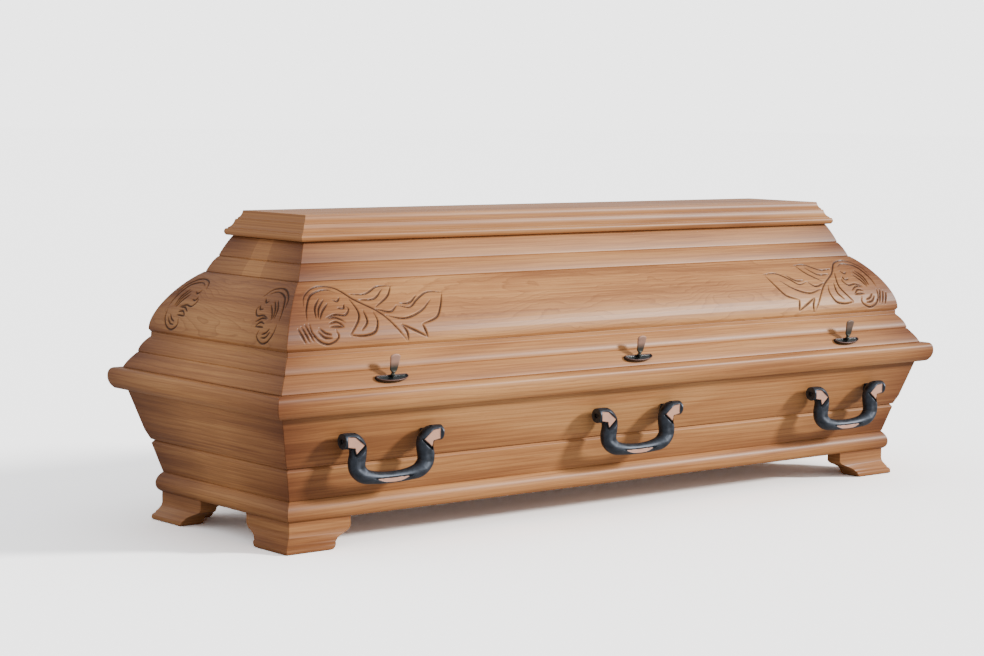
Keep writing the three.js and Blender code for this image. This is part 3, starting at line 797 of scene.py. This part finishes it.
def wood_material(name, figure, lines_across, ring_share, place=None):
    """Varnished wood: growth lines that wander with the figure, fine fibres, short pores, painted shade in
    the carving's grooves, and a darker colour of stain with painted shade from the marks.
    """
    material, tree, shader = base_material(name)
    if place is None:
        grain = attribute(tree, "grain")
    else:
        grain = tree.nodes.new("ShaderNodeTexCoord").outputs[place]
    split = tree.nodes.new("ShaderNodeSeparateXYZ")
    tree.links.new(grain, split.inputs[0])
    drift = grain_noise(tree, grain, DRIFT)
    gnarl = grain_noise(tree, grain, GNARL)
    phase = maths(tree, "MULTIPLY", split.outputs[1], lines_across)
    phase = maths(tree, "ADD", phase, maths(tree, "MULTIPLY", drift, figure))
    phase = maths(tree, "ADD", phase, maths(tree, "MULTIPLY", gnarl, GNARL_SHARE * figure))
    ring_stops = [(0.0, grey(0)), (0.7, grey(0.35)), (0.92, grey(1)), (1.0, grey(0))]
    rings = ramp(tree, maths(tree, "FRACT", phase), ring_stops)
    zones = grain_noise(tree, grain, ZONES)
    streaks = grain_noise(tree, grain, STREAKS)
    fibres = grain_noise(tree, grain, FIBRES)
    pores = grain_noise(tree, grain, PORES)
    broad = maths(tree, "MULTIPLY", zones, ZONE_SHARE)
    tone = maths(tree, "ADD", broad, maths(tree, "MULTIPLY", streaks, STREAK_SHARE))
    colour = ramp(tree, tone, [(0.38, WOOD_DARK), (0.5, WOOD_MIDDLE), (0.62, WOOD_LIGHT)])
    colour = mix_colours(tree, maths(tree, "MULTIPLY", rings, ring_share), colour, WOOD_RING)
    fine = ramp(tree, fibres, [(0.3, grey(0.7)), (0.7, grey(1))])
    colour = mix_colours(tree, FIBRE_SHARE, colour, fine, "MULTIPLY")
    colour = mix_colours(tree, ramp(tree, pores, [(0.62, grey(0)), (0.76, grey(0.35))]), colour, WOOD_RING)
    marks = tree.nodes.new("ShaderNodeSeparateXYZ")
    tree.links.new(attribute(tree, "marks"), marks.inputs[0])
    # Stain with painted shade: the marks darken the wood near the mitres, and on the top board and the feet.
    stain_and_shade = maths(tree, "MULTIPLY", marks.outputs[1], ramp(tree, zones, [(0.3, grey(1)), (0.7, grey(0.75))]))
    colour = mix_colours(tree, stain_and_shade, colour, WOOD_STAIN_AND_SHADE, "MULTIPLY")
    # Painted shade: the grooves darken towards near black with their depth.
    cut = ramp(tree, marks.outputs[0], [(0.12, grey(0)), (0.5, grey(0.85))])
    colour = mix_colours(tree, cut, colour, WOOD_GROOVE_SHADE)
    tree.links.new(colour, shader.inputs["Base Color"])
    rough = ramp(tree, streaks, [(0.3, grey(0.40)), (0.7, grey(0.50))])
    tree.links.new(rough, shader.inputs["Roughness"])
    shader.inputs["Specular IOR Level"].default_value = VARNISH_SPECULAR
    shader.inputs["Coat Weight"].default_value = VARNISH_COAT
    shader.inputs["Coat Roughness"].default_value = VARNISH_COAT_ROUGH
    bump = node(tree, "ShaderNodeBump", Strength=0.10, Distance=0.0005)
    tree.links.new(fibres, bump.inputs["Height"])
    tree.links.new(bump.outputs[0], shader.inputs["Normal"])
    return material


def metal_material(name, colours, rubbed, metallic, rough):
    """Patinated cast metal: rubbed through where marked first, painted shade in the hollows and tinted on cut
    ends.
    """
    dark, tint, end = colours
    material, tree, shader = base_material(name)
    place = tree.nodes.new("ShaderNodeTexCoord").outputs["Object"]
    cloud = noise(tree, place, CLOUD_SCALE, 4, 0.6)
    grit = noise(tree, place, GRIT_SCALE, 3, 0.6)
    marks = tree.nodes.new("ShaderNodeSeparateXYZ")
    tree.links.new(attribute(tree, "marks"), marks.inputs[0])
    colour = ramp(tree, cloud, [(0.32, dark), (0.68, tint)])
    colour = mix_colours(tree, marks.outputs[2], colour, end)
    uneven = ramp(tree, cloud, [(0.2, grey(0.85)), (0.6, grey(1))])
    worn = maths(tree, "MULTIPLY", marks.outputs[0], uneven, True)
    patchy = mix_colours(tree, ramp(tree, grit, [(0.3, grey(0)), (0.8, grey(0.3))]), rubbed, tint)
    colour = mix_colours(tree, worn, colour, patchy)
    # Painted shade in the notches, under the lens's step and in the bores.
    hollow = maths(tree, "MULTIPLY", marks.outputs[1], METAL_SHADE_SHARE)
    colour = mix_colours(tree, hollow, colour, METAL_SHADE)
    tree.links.new(colour, shader.inputs["Base Color"])
    lost = maths(tree, "MULTIPLY", worn, metallic * RUBBED_LESS_METAL)
    solid = maths(tree, "SUBTRACT", metallic, lost, True)
    tree.links.new(solid, shader.inputs["Metallic"])
    dull = ramp(tree, cloud, [(0.3, grey(rough - CAST_UNEVEN)), (0.7, grey(rough + CAST_UNEVEN))])
    rougher = maths(tree, "MULTIPLY", worn, RUBBED_ROUGHER)
    tree.links.new(maths(tree, "ADD", dull, rougher, True), shader.inputs["Roughness"])
    bump = node(tree, "ShaderNodeBump", Strength=0.22, Distance=0.0004)
    tree.links.new(grit, bump.inputs["Height"])
    tree.links.new(bump.outputs[0], shader.inputs["Normal"])
    return material


wood = wood_material("varnished_wood", 4.0, 85, 0.3)
panel_wood = wood_material("figured_wood", 20.0, 75, 0.36)
floor_wood = wood_material("floor_wood", 6.0, 40, 0.3, "Object")
gunmetal = metal_material(
    "gunmetal", ((0.026, 0.031, 0.040, 1), (0.058, 0.068, 0.088, 1), (0.055, 0.062, 0.070, 1)),
    (0.66, 0.35, 0.23, 1), 0.7, 0.46)
dark_plate = metal_material(
    "dark_plate", ((0.014, 0.018, 0.018, 1), (0.026, 0.030, 0.031, 1), (0.03, 0.03, 0.03, 1)),
    (0.105, 0.044, 0.034, 1), 0.6, 0.24)
copper = metal_material(
    "rubbed_copper", ((0.055, 0.055, 0.045, 1), (0.085, 0.083, 0.068, 1), (0.05, 0.05, 0.05, 1)),
    (0.46, 0.25, 0.175, 1), 0.8, 0.36)


# The boards

BANDS = {
    "lid_frieze": frieze_outline,
    "lid_moulding": moulding_outline,
    "base_rim": rim_outline,
    "base_wall": wall_outline,
    "base_plinth": plinth_outline,
}
for band_index, (band, draw) in enumerate(BANDS.items()):
    for side_index, side in enumerate(SIDES):
        name = f"{band}_{side}"
        seed = BAND_SEED * band_index + SIDE_SEED * side_index
        mesh = mitred_board(f"fine_{name}", draw(), side, seed)
        wood_piece(name, mesh, wood)

for side_index, (side, (strokes, strokes_end)) in enumerate(CARVING.items()):
    seed = PANEL_SEED + PANEL_SIDE_SEED * side_index
    mesh = carved_panel(f"fine_lid_panel_{side}", side, strokes, strokes_end, seed)
    wood_piece(f"lid_panel_{side}", mesh, panel_wood, CARVED_CRISP)


def top_board():
    """The top board: a flat field with its moulded edge on all four sides, and a recess below."""
    points = softened(top_board_outline(), closed=False)[1:-1]
    lengths = outline_lengths(points)
    places, grain = [], []
    for sx, sy in [(-1, -1), (1, -1), (1, 1), (-1, 1)]:
        for i, (w, level) in enumerate(points):
            x, y = sx * (w + END_EXTRA), sy * w
            places.append((x * MM, y * MM, level * MM))
            grain.append((x * MM, y * MM if level > LID_TOP - 1 else lengths[i] * MM, TOP_SEED))
    count = len(points)
    faces = []
    for a in range(4):
        b = (a + 1) % 4
        for i in range(count - 1):
            faces.append((a * count + i, a * count + i + 1, b * count + i + 1, b * count + i))
    faces.append(tuple(a * count for a in range(4)))
    faces.append(tuple(a * count + count - 1 for a in range(4)))
    mesh = closed_mesh("fine_lid_top_board", places, faces, grain)
    # Painted shade over the whole board.
    add_vectors(mesh, "marks", [(0, TOP_SHADE, 0)] * len(places))
    return mesh


wood_piece("lid_top_board", top_board(), wood)


# Feet

def bracket_foot(name, sign_x, sign_y, seed):
    """The profile bent round a corner, with a curved bracket at the end of each arm."""
    levels = np.linspace(0, FOOT_TOP - JOINT_GAP, FOOT_ROWS)
    face_w, face_z = np.transpose(FOOT_FACE)
    arm_long, arm_z = np.transpose(FOOT_ARM)
    w = np.interp(levels, face_z, face_w)
    end = FOOT_WIDE - np.interp(levels, arm_z, arm_long)
    inner = float(FOOT_WIDE - FOOT_THICK)
    places, grain = [], []
    for k in range(FOOT_ROWS):
        near, far = end[k], w[k]
        ring = [
            (near, far - FOOT_SOFT), (near + FOOT_SOFT, far), (far - FOOT_SOFT, far), (far, far - FOOT_SOFT),
            (far, near + FOOT_SOFT), (far - FOOT_SOFT, near), (inner, near), (inner, inner), (near, inner),
        ]
        for x, y in ring:
            places.append((sign_x * (x + END_EXTRA) * MM, sign_y * y * MM, levels[k] * MM))
            grain.append(((x + y) * MM, levels[k] * MM, seed))
    faces = grid_faces(FOOT_ROWS, len(ring), True) + end_faces(FOOT_ROWS, len(ring))
    mesh = closed_mesh(name, places, faces, grain)
    # Painted shade over the whole foot.
    add_vectors(mesh, "marks", [(0, FOOT_SHADE, 0)] * len(places))
    return mesh


seed = FOOT_SEED
for fore, sign_y in (("front", -1), ("back", 1)):
    for hand, sign_x in (("left", -1), ("right", 1)):
        seed += FOOT_NEXT_SEED
        mesh = bracket_foot(f"fine_foot_{fore}_{hand}", sign_x, sign_y, seed)
        wood_piece(f"foot_{fore}_{hand}", mesh, wood)


# Handles

def tube(name, rings):
    """A closed mesh through rings that have the same number of points, with a flat cap at both ends."""
    rows, columns = rings.shape[:2]
    faces = grid_faces(rows, columns, True) + end_faces(rows, columns)
    return closed_mesh(name, rings.reshape(-1, 3) * MM, faces)


def prism(name, points, low, high):
    """A block along X with the given outline in y and z."""
    rings = np.array([[(x, y, z) for y, z in points] for x in (low, high)], float)
    return tube(name, rings)


def cut_out(mesh, cutters):
    """The mesh with every cutter taken away."""
    collection = bpy.context.scene.collection
    block = bpy.data.objects.new("block", mesh)
    collection.objects.link(block)
    helpers = [block]
    for cutter in cutters:
        helper = bpy.data.objects.new("helper", cutter)
        collection.objects.link(helper)
        helpers.append(helper)
        step = block.modifiers.new("cut", "BOOLEAN")
        step.operation = "DIFFERENCE"
        step.solver = "MANIFOLD"
        step.object = helper
    found = bpy.data.meshes.new_from_object(block.evaluated_get(bpy.context.evaluated_depsgraph_get()))
    for helper in helpers:
        bpy.data.objects.remove(helper)
    return found


def line_distance(points, across, up):
    """Distance from each place to an open run of straight pieces."""
    nearest = np.full(across.shape, 1e6)
    for (a, b), (c, d) in zip(points[:-1], points[1:]):
        length = (c - a) ** 2 + (d - b) ** 2
        t = np.clip(((across - a) * (c - a) + (up - b) * (d - b)) / length, 0, 1)
        nearest = np.minimum(nearest, np.hypot(across - a - t * (c - a), up - b - t * (d - b)))
    return nearest


def inside_outline(points, across, up):
    """True where a place lies inside the closed outline."""
    inside = np.zeros(across.shape, bool)
    for (a, b), (c, d) in zip(points, points[1:] + points[:1]):
        if b == d:
            continue
        crosses = (b > up) != (d > up)
        inside ^= crosses & (across < a + (c - a) * (up - b) / (d - b))
    return inside


def flat_room(x, z):
    """How far each place lies inside the flat of its arm; negative outside."""
    across = HANDLE_HALF - np.abs(x)
    away = line_distance(FLAT_OUTLINE + FLAT_OUTLINE[:1], across, z)
    return np.where(inside_outline(FLAT_OUTLINE, across, z), away, -away)


def lens_room(x, z):
    """How far each place lies inside the lens under the grip; negative outside."""
    low = LENS_TOP - LENS_DROP * np.clip(1 - (x / LENS_HALF) ** 2, -1, 1)
    return np.minimum(LENS_TOP - z, z - low)


def handle_front(x, y, z, aside):
    """Works the flats, the notches, the arms' hollows and the grip's lens into the front of a handle."""
    flat = flat_room(x, z)
    notch = line_distance(NOTCH_LINE, HANDLE_HALF - np.abs(x), z)
    wall = np.where(flat >= 0, -FLAT_OUT, -FLAT_OUT + FLAT_SLOPE * flat)
    floor = -FLAT_OUT + NOTCH_DEPTH - notch * NOTCH_DEPTH / NOTCH_HALF
    beyond = -FLAT_OUT + NOTCH_DEPTH - NOTCH_SLOPE * notch
    near = notch < np.abs(flat) + 0.01
    limit = np.where((flat < 0) & near, beyond, np.maximum(wall, floor))
    lens = lens_room(x, z)
    step = LENS_STEP * (1 - np.abs(z - LENS_TOP - LENS_STEP_HALF) / LENS_STEP_HALF)
    lens_limit = np.where(lens >= 0, -LENS_OUT, -LENS_OUT + FLAT_SLOPE * lens)
    stepped = (np.abs(x) < LENS_HALF) & (step > 0)
    lens_limit = np.where(stepped, np.maximum(lens_limit, -LENS_OUT + step), lens_limit)
    rise = np.clip((VALLEY_TOP - z) / VALLEY_TOP_FADE, 0, 1)
    rise *= np.clip((z - VALLEY_FOOT) / VALLEY_FOOT_FADE, 0, 1)
    hollow = VALLEY_DEPTH * rise * np.clip(1 - (aside / VALLEY_HALF) ** 2, 0, 1) ** 2
    front = np.maximum(np.maximum(y + hollow, limit), lens_limit)
    return np.where(y < 0, front, y)


def slot_outline():
    """Room that the holder's lug needs inside the barrel, through the whole swing."""
    low, high = math.radians(-SWING_IN), math.radians(SWING_OUT)
    middle = (low + high) / 2

    def turned(angle, along, aside):
        sine, cosine = math.sin(angle), math.cos(angle)
        return along * cosine - aside * sine, along * sine + aside * cosine

    return [
        turned(low, SLOT_REACH, -LUG_HALF), (SLOT_REACH, SLOT_REACH), turned(high, SLOT_REACH, LUG_HALF),
        turned(high, 0, LUG_HALF), turned(middle, -LUG_HALF, 0), turned(low, 0, -LUG_HALF),
    ]


def handle_mesh():
    """One casting bent like an omega, with its barrels bored and slotted for the holders."""
    mirrored = [(-x, z, half) for x, z, half in BAIL_LINE[:-1]]
    middle = smooth_line(mirrored + BAIL_LINE[::-1], BAIL_STEP)
    ahead = np.gradient(middle[:, :2], axis=0)
    ahead /= np.hypot(*ahead.T)[:, None]
    lengths = np.concatenate([[0], np.cumsum(np.hypot(*np.diff(middle[:, :2], axis=0).T))])
    from_end = np.minimum(lengths, lengths[-1] - lengths)
    soft = 1 - np.clip(1 - from_end / DISC_SOFT, 0, 1) ** 2 * DISC_SOFT / BAIL_LINE[0][2]
    angles = np.linspace(0, 2 * math.pi, BAIL_ROUND, endpoint=False)
    half = middle[:, 2] * soft
    aside = half[:, None] * np.sin(angles)
    y = np.minimum(BAIL_DEPTH, half)[:, None] * np.cos(angles)
    x = middle[:, :1] - ahead[:, 1:] * aside
    z = middle[:, 1:2] + ahead[:, :1] * aside
    rings = np.stack([x, handle_front(x, y, z, aside), z], -1)
    turns = np.linspace(0, 2 * math.pi, BORE_SIDES, endpoint=False)
    round_hole = [(BORE_RADIUS * math.cos(t), BORE_RADIUS * math.sin(t)) for t in turns]
    cutters = []
    for sign in (-1, 1):
        lug = sign * LUG_PLACE
        ends = sorted((lug, sign * (HANDLE_HALF + BORE_PAST)))
        cutters.append(prism("bore", round_hole, *ends))
        cutters.append(prism("slot", slot_outline(), lug - LUG_ROOM / 2, lug + LUG_ROOM / 2))
    mesh = cut_out(tube("fine_handle", rings), cutters)
    add_vectors(mesh, "marks", handle_marks(mesh))
    smooth(mesh, HANDLE_CRISP)
    return mesh


def handle_marks(mesh):
    """Where a handle is rubbed, where it is painted dark as shade and where its ends are, for each point of
    its mesh.
    """
    places = np.zeros(len(mesh.vertices) * 3)
    mesh.vertices.foreach_get("co", places)
    x, y, z = (places / MM).reshape(-1, 3).T
    on_flat = np.clip(flat_room(x, z) / RUB_SOFT + FLAT_RUB_START, 0, 1)
    on_flat *= np.abs(y + FLAT_OUT) < FLAT_RUB_NEAR
    on_lens = np.clip(lens_room(x, z) / RUB_SOFT + LENS_RUB_START, 0, 1)
    on_lens *= np.abs(y + LENS_OUT) < LENS_RUB_NEAR
    # The second mark paints shade: dark in the notches, under the lens's step and in the bores.
    notch = line_distance(NOTCH_LINE, HANDLE_HALF - np.abs(x), z)
    in_notch = np.clip(NOTCH_DARK - notch / NOTCH_HALF, 0, 1)
    in_notch *= (y < -NOTCH_DARK_BACK) & (y > -FLAT_OUT + NOTCH_DARK_FRONT)
    in_step = np.clip(STEP_DARK - np.abs(z - LENS_TOP - LENS_STEP_HALF) / LENS_STEP_HALF, 0, 1)
    in_step *= (np.abs(x) < LENS_HALF - STEP_DARK_SHORT) & (y < -STEP_DARK_BACK)
    in_bore = np.hypot(y, z) < BORE_RADIUS + BORE_DARK
    dark = np.maximum(np.maximum(in_notch, in_step), in_bore)
    at_end = np.abs(x) > HANDLE_HALF - END_DEEP
    return np.stack([np.maximum(on_flat, on_lens), dark, at_end], -1)


# Plates and screws

def step_frame():
    """A point just below the middle of the lower step, and the step's two directions."""
    (top_w, top_z), (foot_w, foot_z) = STEP_TOP, STEP_FOOT
    long = math.hypot(top_w - foot_w, top_z - foot_z)
    up = ((top_w - foot_w) / long, (top_z - foot_z) / long)
    middle = ((top_w + foot_w) / 2 + PLATE_SHIFT[0], (top_z + foot_z) / 2 + PLATE_SHIFT[1])
    return middle, up, (up[1], -up[0])


def plate_thickness(v):
    down = (PLATE_RISE - v) / (PLATE_RISE + PLATE_DROP)
    return PLATE_THICK_ABOVE + (PLATE_THICK_BELOW - PLATE_THICK_ABOVE) * down


def plate_point(v, n):
    """A point of the plate as half width and level: v runs up the step, n out from it."""
    middle, up, out = step_frame()
    return middle[0] + up[0] * v + out[0] * n, middle[1] + up[1] * v + out[1] * n


def half_moon(margin):
    """The plate's outline drawn in by a margin: straight above, round below."""
    half, rise = PLATE_HALF - margin, PLATE_RISE - margin
    drop, corner = PLATE_DROP - margin, PLATE_ROUND - margin
    t = np.linspace(0, 1, PLATE_CURVE + 1)[:, None]

    def bend(*controls):
        level = [np.array(c, float) for c in controls]
        while len(level) > 1:
            level = [a * (1 - t) + b * t for a, b in zip(level[:-1], level[1:])]
        return level[0]

    right = np.vstack([
        bend((0, rise), (half - corner, rise))[:-1],
        bend((half - corner, rise), (half, rise), (half, rise - corner))[:-1],
        bend((half, rise - corner), (half, -drop / 2), (half / 2, -drop), (0, -drop)),
    ])
    left = right[1:-1][::-1] * (-1, 1)
    return np.vstack([right, left])


def plate_mesh():
    """A half-moon plate: a thick dish with a rounded rim, open at the screw's hole."""
    outer = half_moon(0)
    loops, marks = [[(u, v, PLATE_BACK) for u, v in outer]], [0]
    for margin, height in PLATE_LOOPS:
        loops.append([(u, v, plate_thickness(v) + height) for u, v in half_moon(margin)])
        marks.append(1 if height > RIM_RUB_HEIGHT and margin < RIM_RUB_MARGIN else 0)
    turns = np.arctan2(outer[:, 1], outer[:, 0])
    hole = [(HOLE_RADIUS * math.cos(t), HOLE_RADIUS * math.sin(t)) for t in turns]
    loops.append([(u, v, plate_thickness(v) - DISH_DEPTH) for u, v in hole])
    loops.append([(u, v, PLATE_BACK) for u, v in hole])
    marks += [0, 0]
    rows, columns = len(loops), len(outer)
    places = []
    for loop in loops:
        for u, v, n in loop:
            w, level = plate_point(v, n)
            places.append((u * MM, -w * MM, level * MM))
    faces = grid_faces(rows, columns, True)
    last = (rows - 1) * columns
    for c in range(columns):
        d = (c + 1) % columns
        faces.append((last + c, last + d, d, c))
    mesh = closed_mesh("fine_screw_plate", places, faces)
    share = np.repeat(np.array(marks, float), columns)
    add_vectors(mesh, "marks", np.stack([share, 0 * share, 0 * share], -1))
    smooth(mesh, CARVED_CRISP)
    return mesh


def screw_mesh(index):
    """A wing screw: shank, beads and a flat blade, as one run of rings along its line."""
    stations = np.array(SCREW_LINE, float)
    blade = np.linspace(stations[SCREW_NECK, 0], stations[-1, 0], SCREW_ROWS)
    line = np.unique(np.concatenate([stations[:, 0], blade]))
    across, deep, square = (np.interp(line, stations[:, 0], stations[:, k]) for k in (1, 2, 3))
    angles = np.linspace(0, 2 * math.pi, SCREW_SIDES, endpoint=False)
    power = (2 / square)[:, None]
    x = across[:, None] * np.sign(np.cos(angles)) * np.abs(np.cos(angles)) ** power
    y = deep[:, None] * np.sign(np.sin(angles)) * np.abs(np.sin(angles)) ** power
    z = np.repeat(line[:, None], SCREW_SIDES, 1)
    mesh = tube(f"fine_wing_screw_{index}", np.stack([x, y, z], -1))
    share = np.clip((z.ravel() - COPPER_FROM) / (COPPER_FULL - COPPER_FROM), 0, 1)
    share *= COPPER_SHARE[index - 1]
    add_vectors(mesh, "marks", np.stack([share, 0 * share, 0 * share], -1))
    smooth(mesh, CARVED_CRISP)
    return mesh


handle_shape = handle_mesh()
handle_shape.materials.clear()
handle_shape.materials.append(gunmetal)
plate_shape = plate_mesh()
plate_shape.materials.append(dark_plate)
screw_shapes = [screw_mesh(i) for i in (1, 2, 3)]
for shape in screw_shapes:
    shape.materials.append(copper)


hole_w, hole_z = plate_point(0, plate_thickness(0) - DISH_DEPTH)
for side, i in STATIONS:
    turned = Matrix.Rotation(0 if side == "front" else math.pi, 4, "Z")
    along = (i - 2) * HANDLE_SPACING * MM
    pivot = turned @ Matrix.Translation((along, -PIVOT_OUT * MM, PIVOT_LEVEL * MM))
    aside = turned @ Matrix.Translation((along + SCREW_ASIDE * MM, 0, 0))
    screw = aside @ Matrix.Translation((0, -hole_w * MM, hole_z * MM))
    screw = screw @ Matrix.Rotation(math.radians(SCREW_TILT), 4, "X")
    new_piece(f"handle_{side}_{i}", handle_shape, f"handle_{side}_{i}", pivot)
    new_piece(f"screw_plate_{side}_{i}", plate_shape, BODY, aside)
    new_piece(f"wing_screw_{side}_{i}", screw_shapes[i - 1], BODY, screw)


# The pieces that keep their modelled shape take their finish here.
KEPT = {"base_floor": floor_wood, "holder": gunmetal}
for name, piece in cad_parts.items():
    for start, material in KEPT.items():
        if name.startswith(start):
            piece.data.materials.clear()
            piece.data.materials.append(material)


# Floor, light and camera

def seen_by_camera(tree, lit, seen, output):
    """Lights the coffin with one surface and shows the camera another."""
    mix = tree.nodes.new("ShaderNodeMixShader")
    tree.links.new(tree.nodes.new("ShaderNodeLightPath").outputs["Is Camera Ray"], mix.inputs[0])
    tree.links.new(lit.outputs[0], mix.inputs[1])
    tree.links.new(seen.outputs[0], mix.inputs[2])
    tree.links.new(mix.outputs[0], tree.nodes[output].inputs["Surface"])


def add_floor():
    """A plain pale floor, brighter where the camera sees it directly."""
    mesh = bpy.data.meshes.new("floor")
    corners = [(x * FLOOR_HALF_M, y * FLOOR_HALF_M, 0) for x, y in ((-1, -1), (1, -1), (1, 1), (-1, 1))]
    mesh.from_pydata(corners, [], [(0, 1, 2, 3)])
    floor = bpy.data.objects.new("floor", mesh)
    bpy.context.scene.collection.objects.link(floor)
    material, tree, shader = base_material("pale_floor")
    shader.inputs["Base Color"].default_value = grey(FLOOR_BOUNCE)
    shader.inputs["Roughness"].default_value = 1
    shader.inputs["Specular IOR Level"].default_value = 0
    seen = node(tree, "ShaderNodeBsdfDiffuse", Color=grey(FLOOR_SEEN))
    seen_by_camera(tree, shader, seen, "Material Output")
    mesh.materials.append(material)


def add_key():
    """The main light comes from the right and a little from the front, soft at its edges."""
    data = bpy.data.lights.new("key", "SUN")
    data.energy = KEY_STRENGTH
    data.angle = math.radians(KEY_ANGLE)
    data.color = KEY_TINT
    lamp = bpy.data.objects.new("key", data)
    bpy.context.scene.collection.objects.link(lamp)
    lamp.rotation_euler = Vector(KEY_DIRECTION).to_track_quat("Z", "Y").to_euler()


def add_camera():
    """A long lens at the photograph's viewing angle."""
    yaw, pitch, roll = (math.radians(angle) for angle in (CAMERA_YAW, CAMERA_PITCH, CAMERA_ROLL))
    ahead = Vector((math.sin(yaw) * math.cos(pitch), math.cos(yaw) * math.cos(pitch), -math.sin(pitch)))
    level = Vector((math.cos(yaw), -math.sin(yaw), 0))
    upright = level.cross(ahead)
    right = math.cos(roll) * level + math.sin(roll) * upright
    up = -math.sin(roll) * level + math.cos(roll) * upright
    data = bpy.data.cameras.new("camera")
    data.sensor_width = CAMERA_SENSOR
    data.lens = CAMERA_LENS
    camera = bpy.data.objects.new("camera", data)
    bpy.context.scene.collection.objects.link(camera)
    turn = Matrix((right, up, -ahead)).transposed().to_4x4()
    camera.matrix_world = Matrix.Translation(CAMERA_PLACE_M) @ turn
    bpy.context.scene.camera = camera


def add_world():
    """Soft white surroundings, brighter where the camera sees them directly."""
    world = bpy.data.worlds.new("studio")
    world.use_nodes = True
    tree = world.node_tree
    lit = tree.nodes["Background"]
    lit.inputs["Color"].default_value = WORLD_TINT
    lit.inputs["Strength"].default_value = WORLD_LIGHT
    seen = node(tree, "ShaderNodeBackground", Color=grey(1), Strength=WORLD_SEEN)
    seen_by_camera(tree, lit, seen, "World Output")
    bpy.context.scene.world = world


add_floor()
add_world()
add_key()
add_camera()
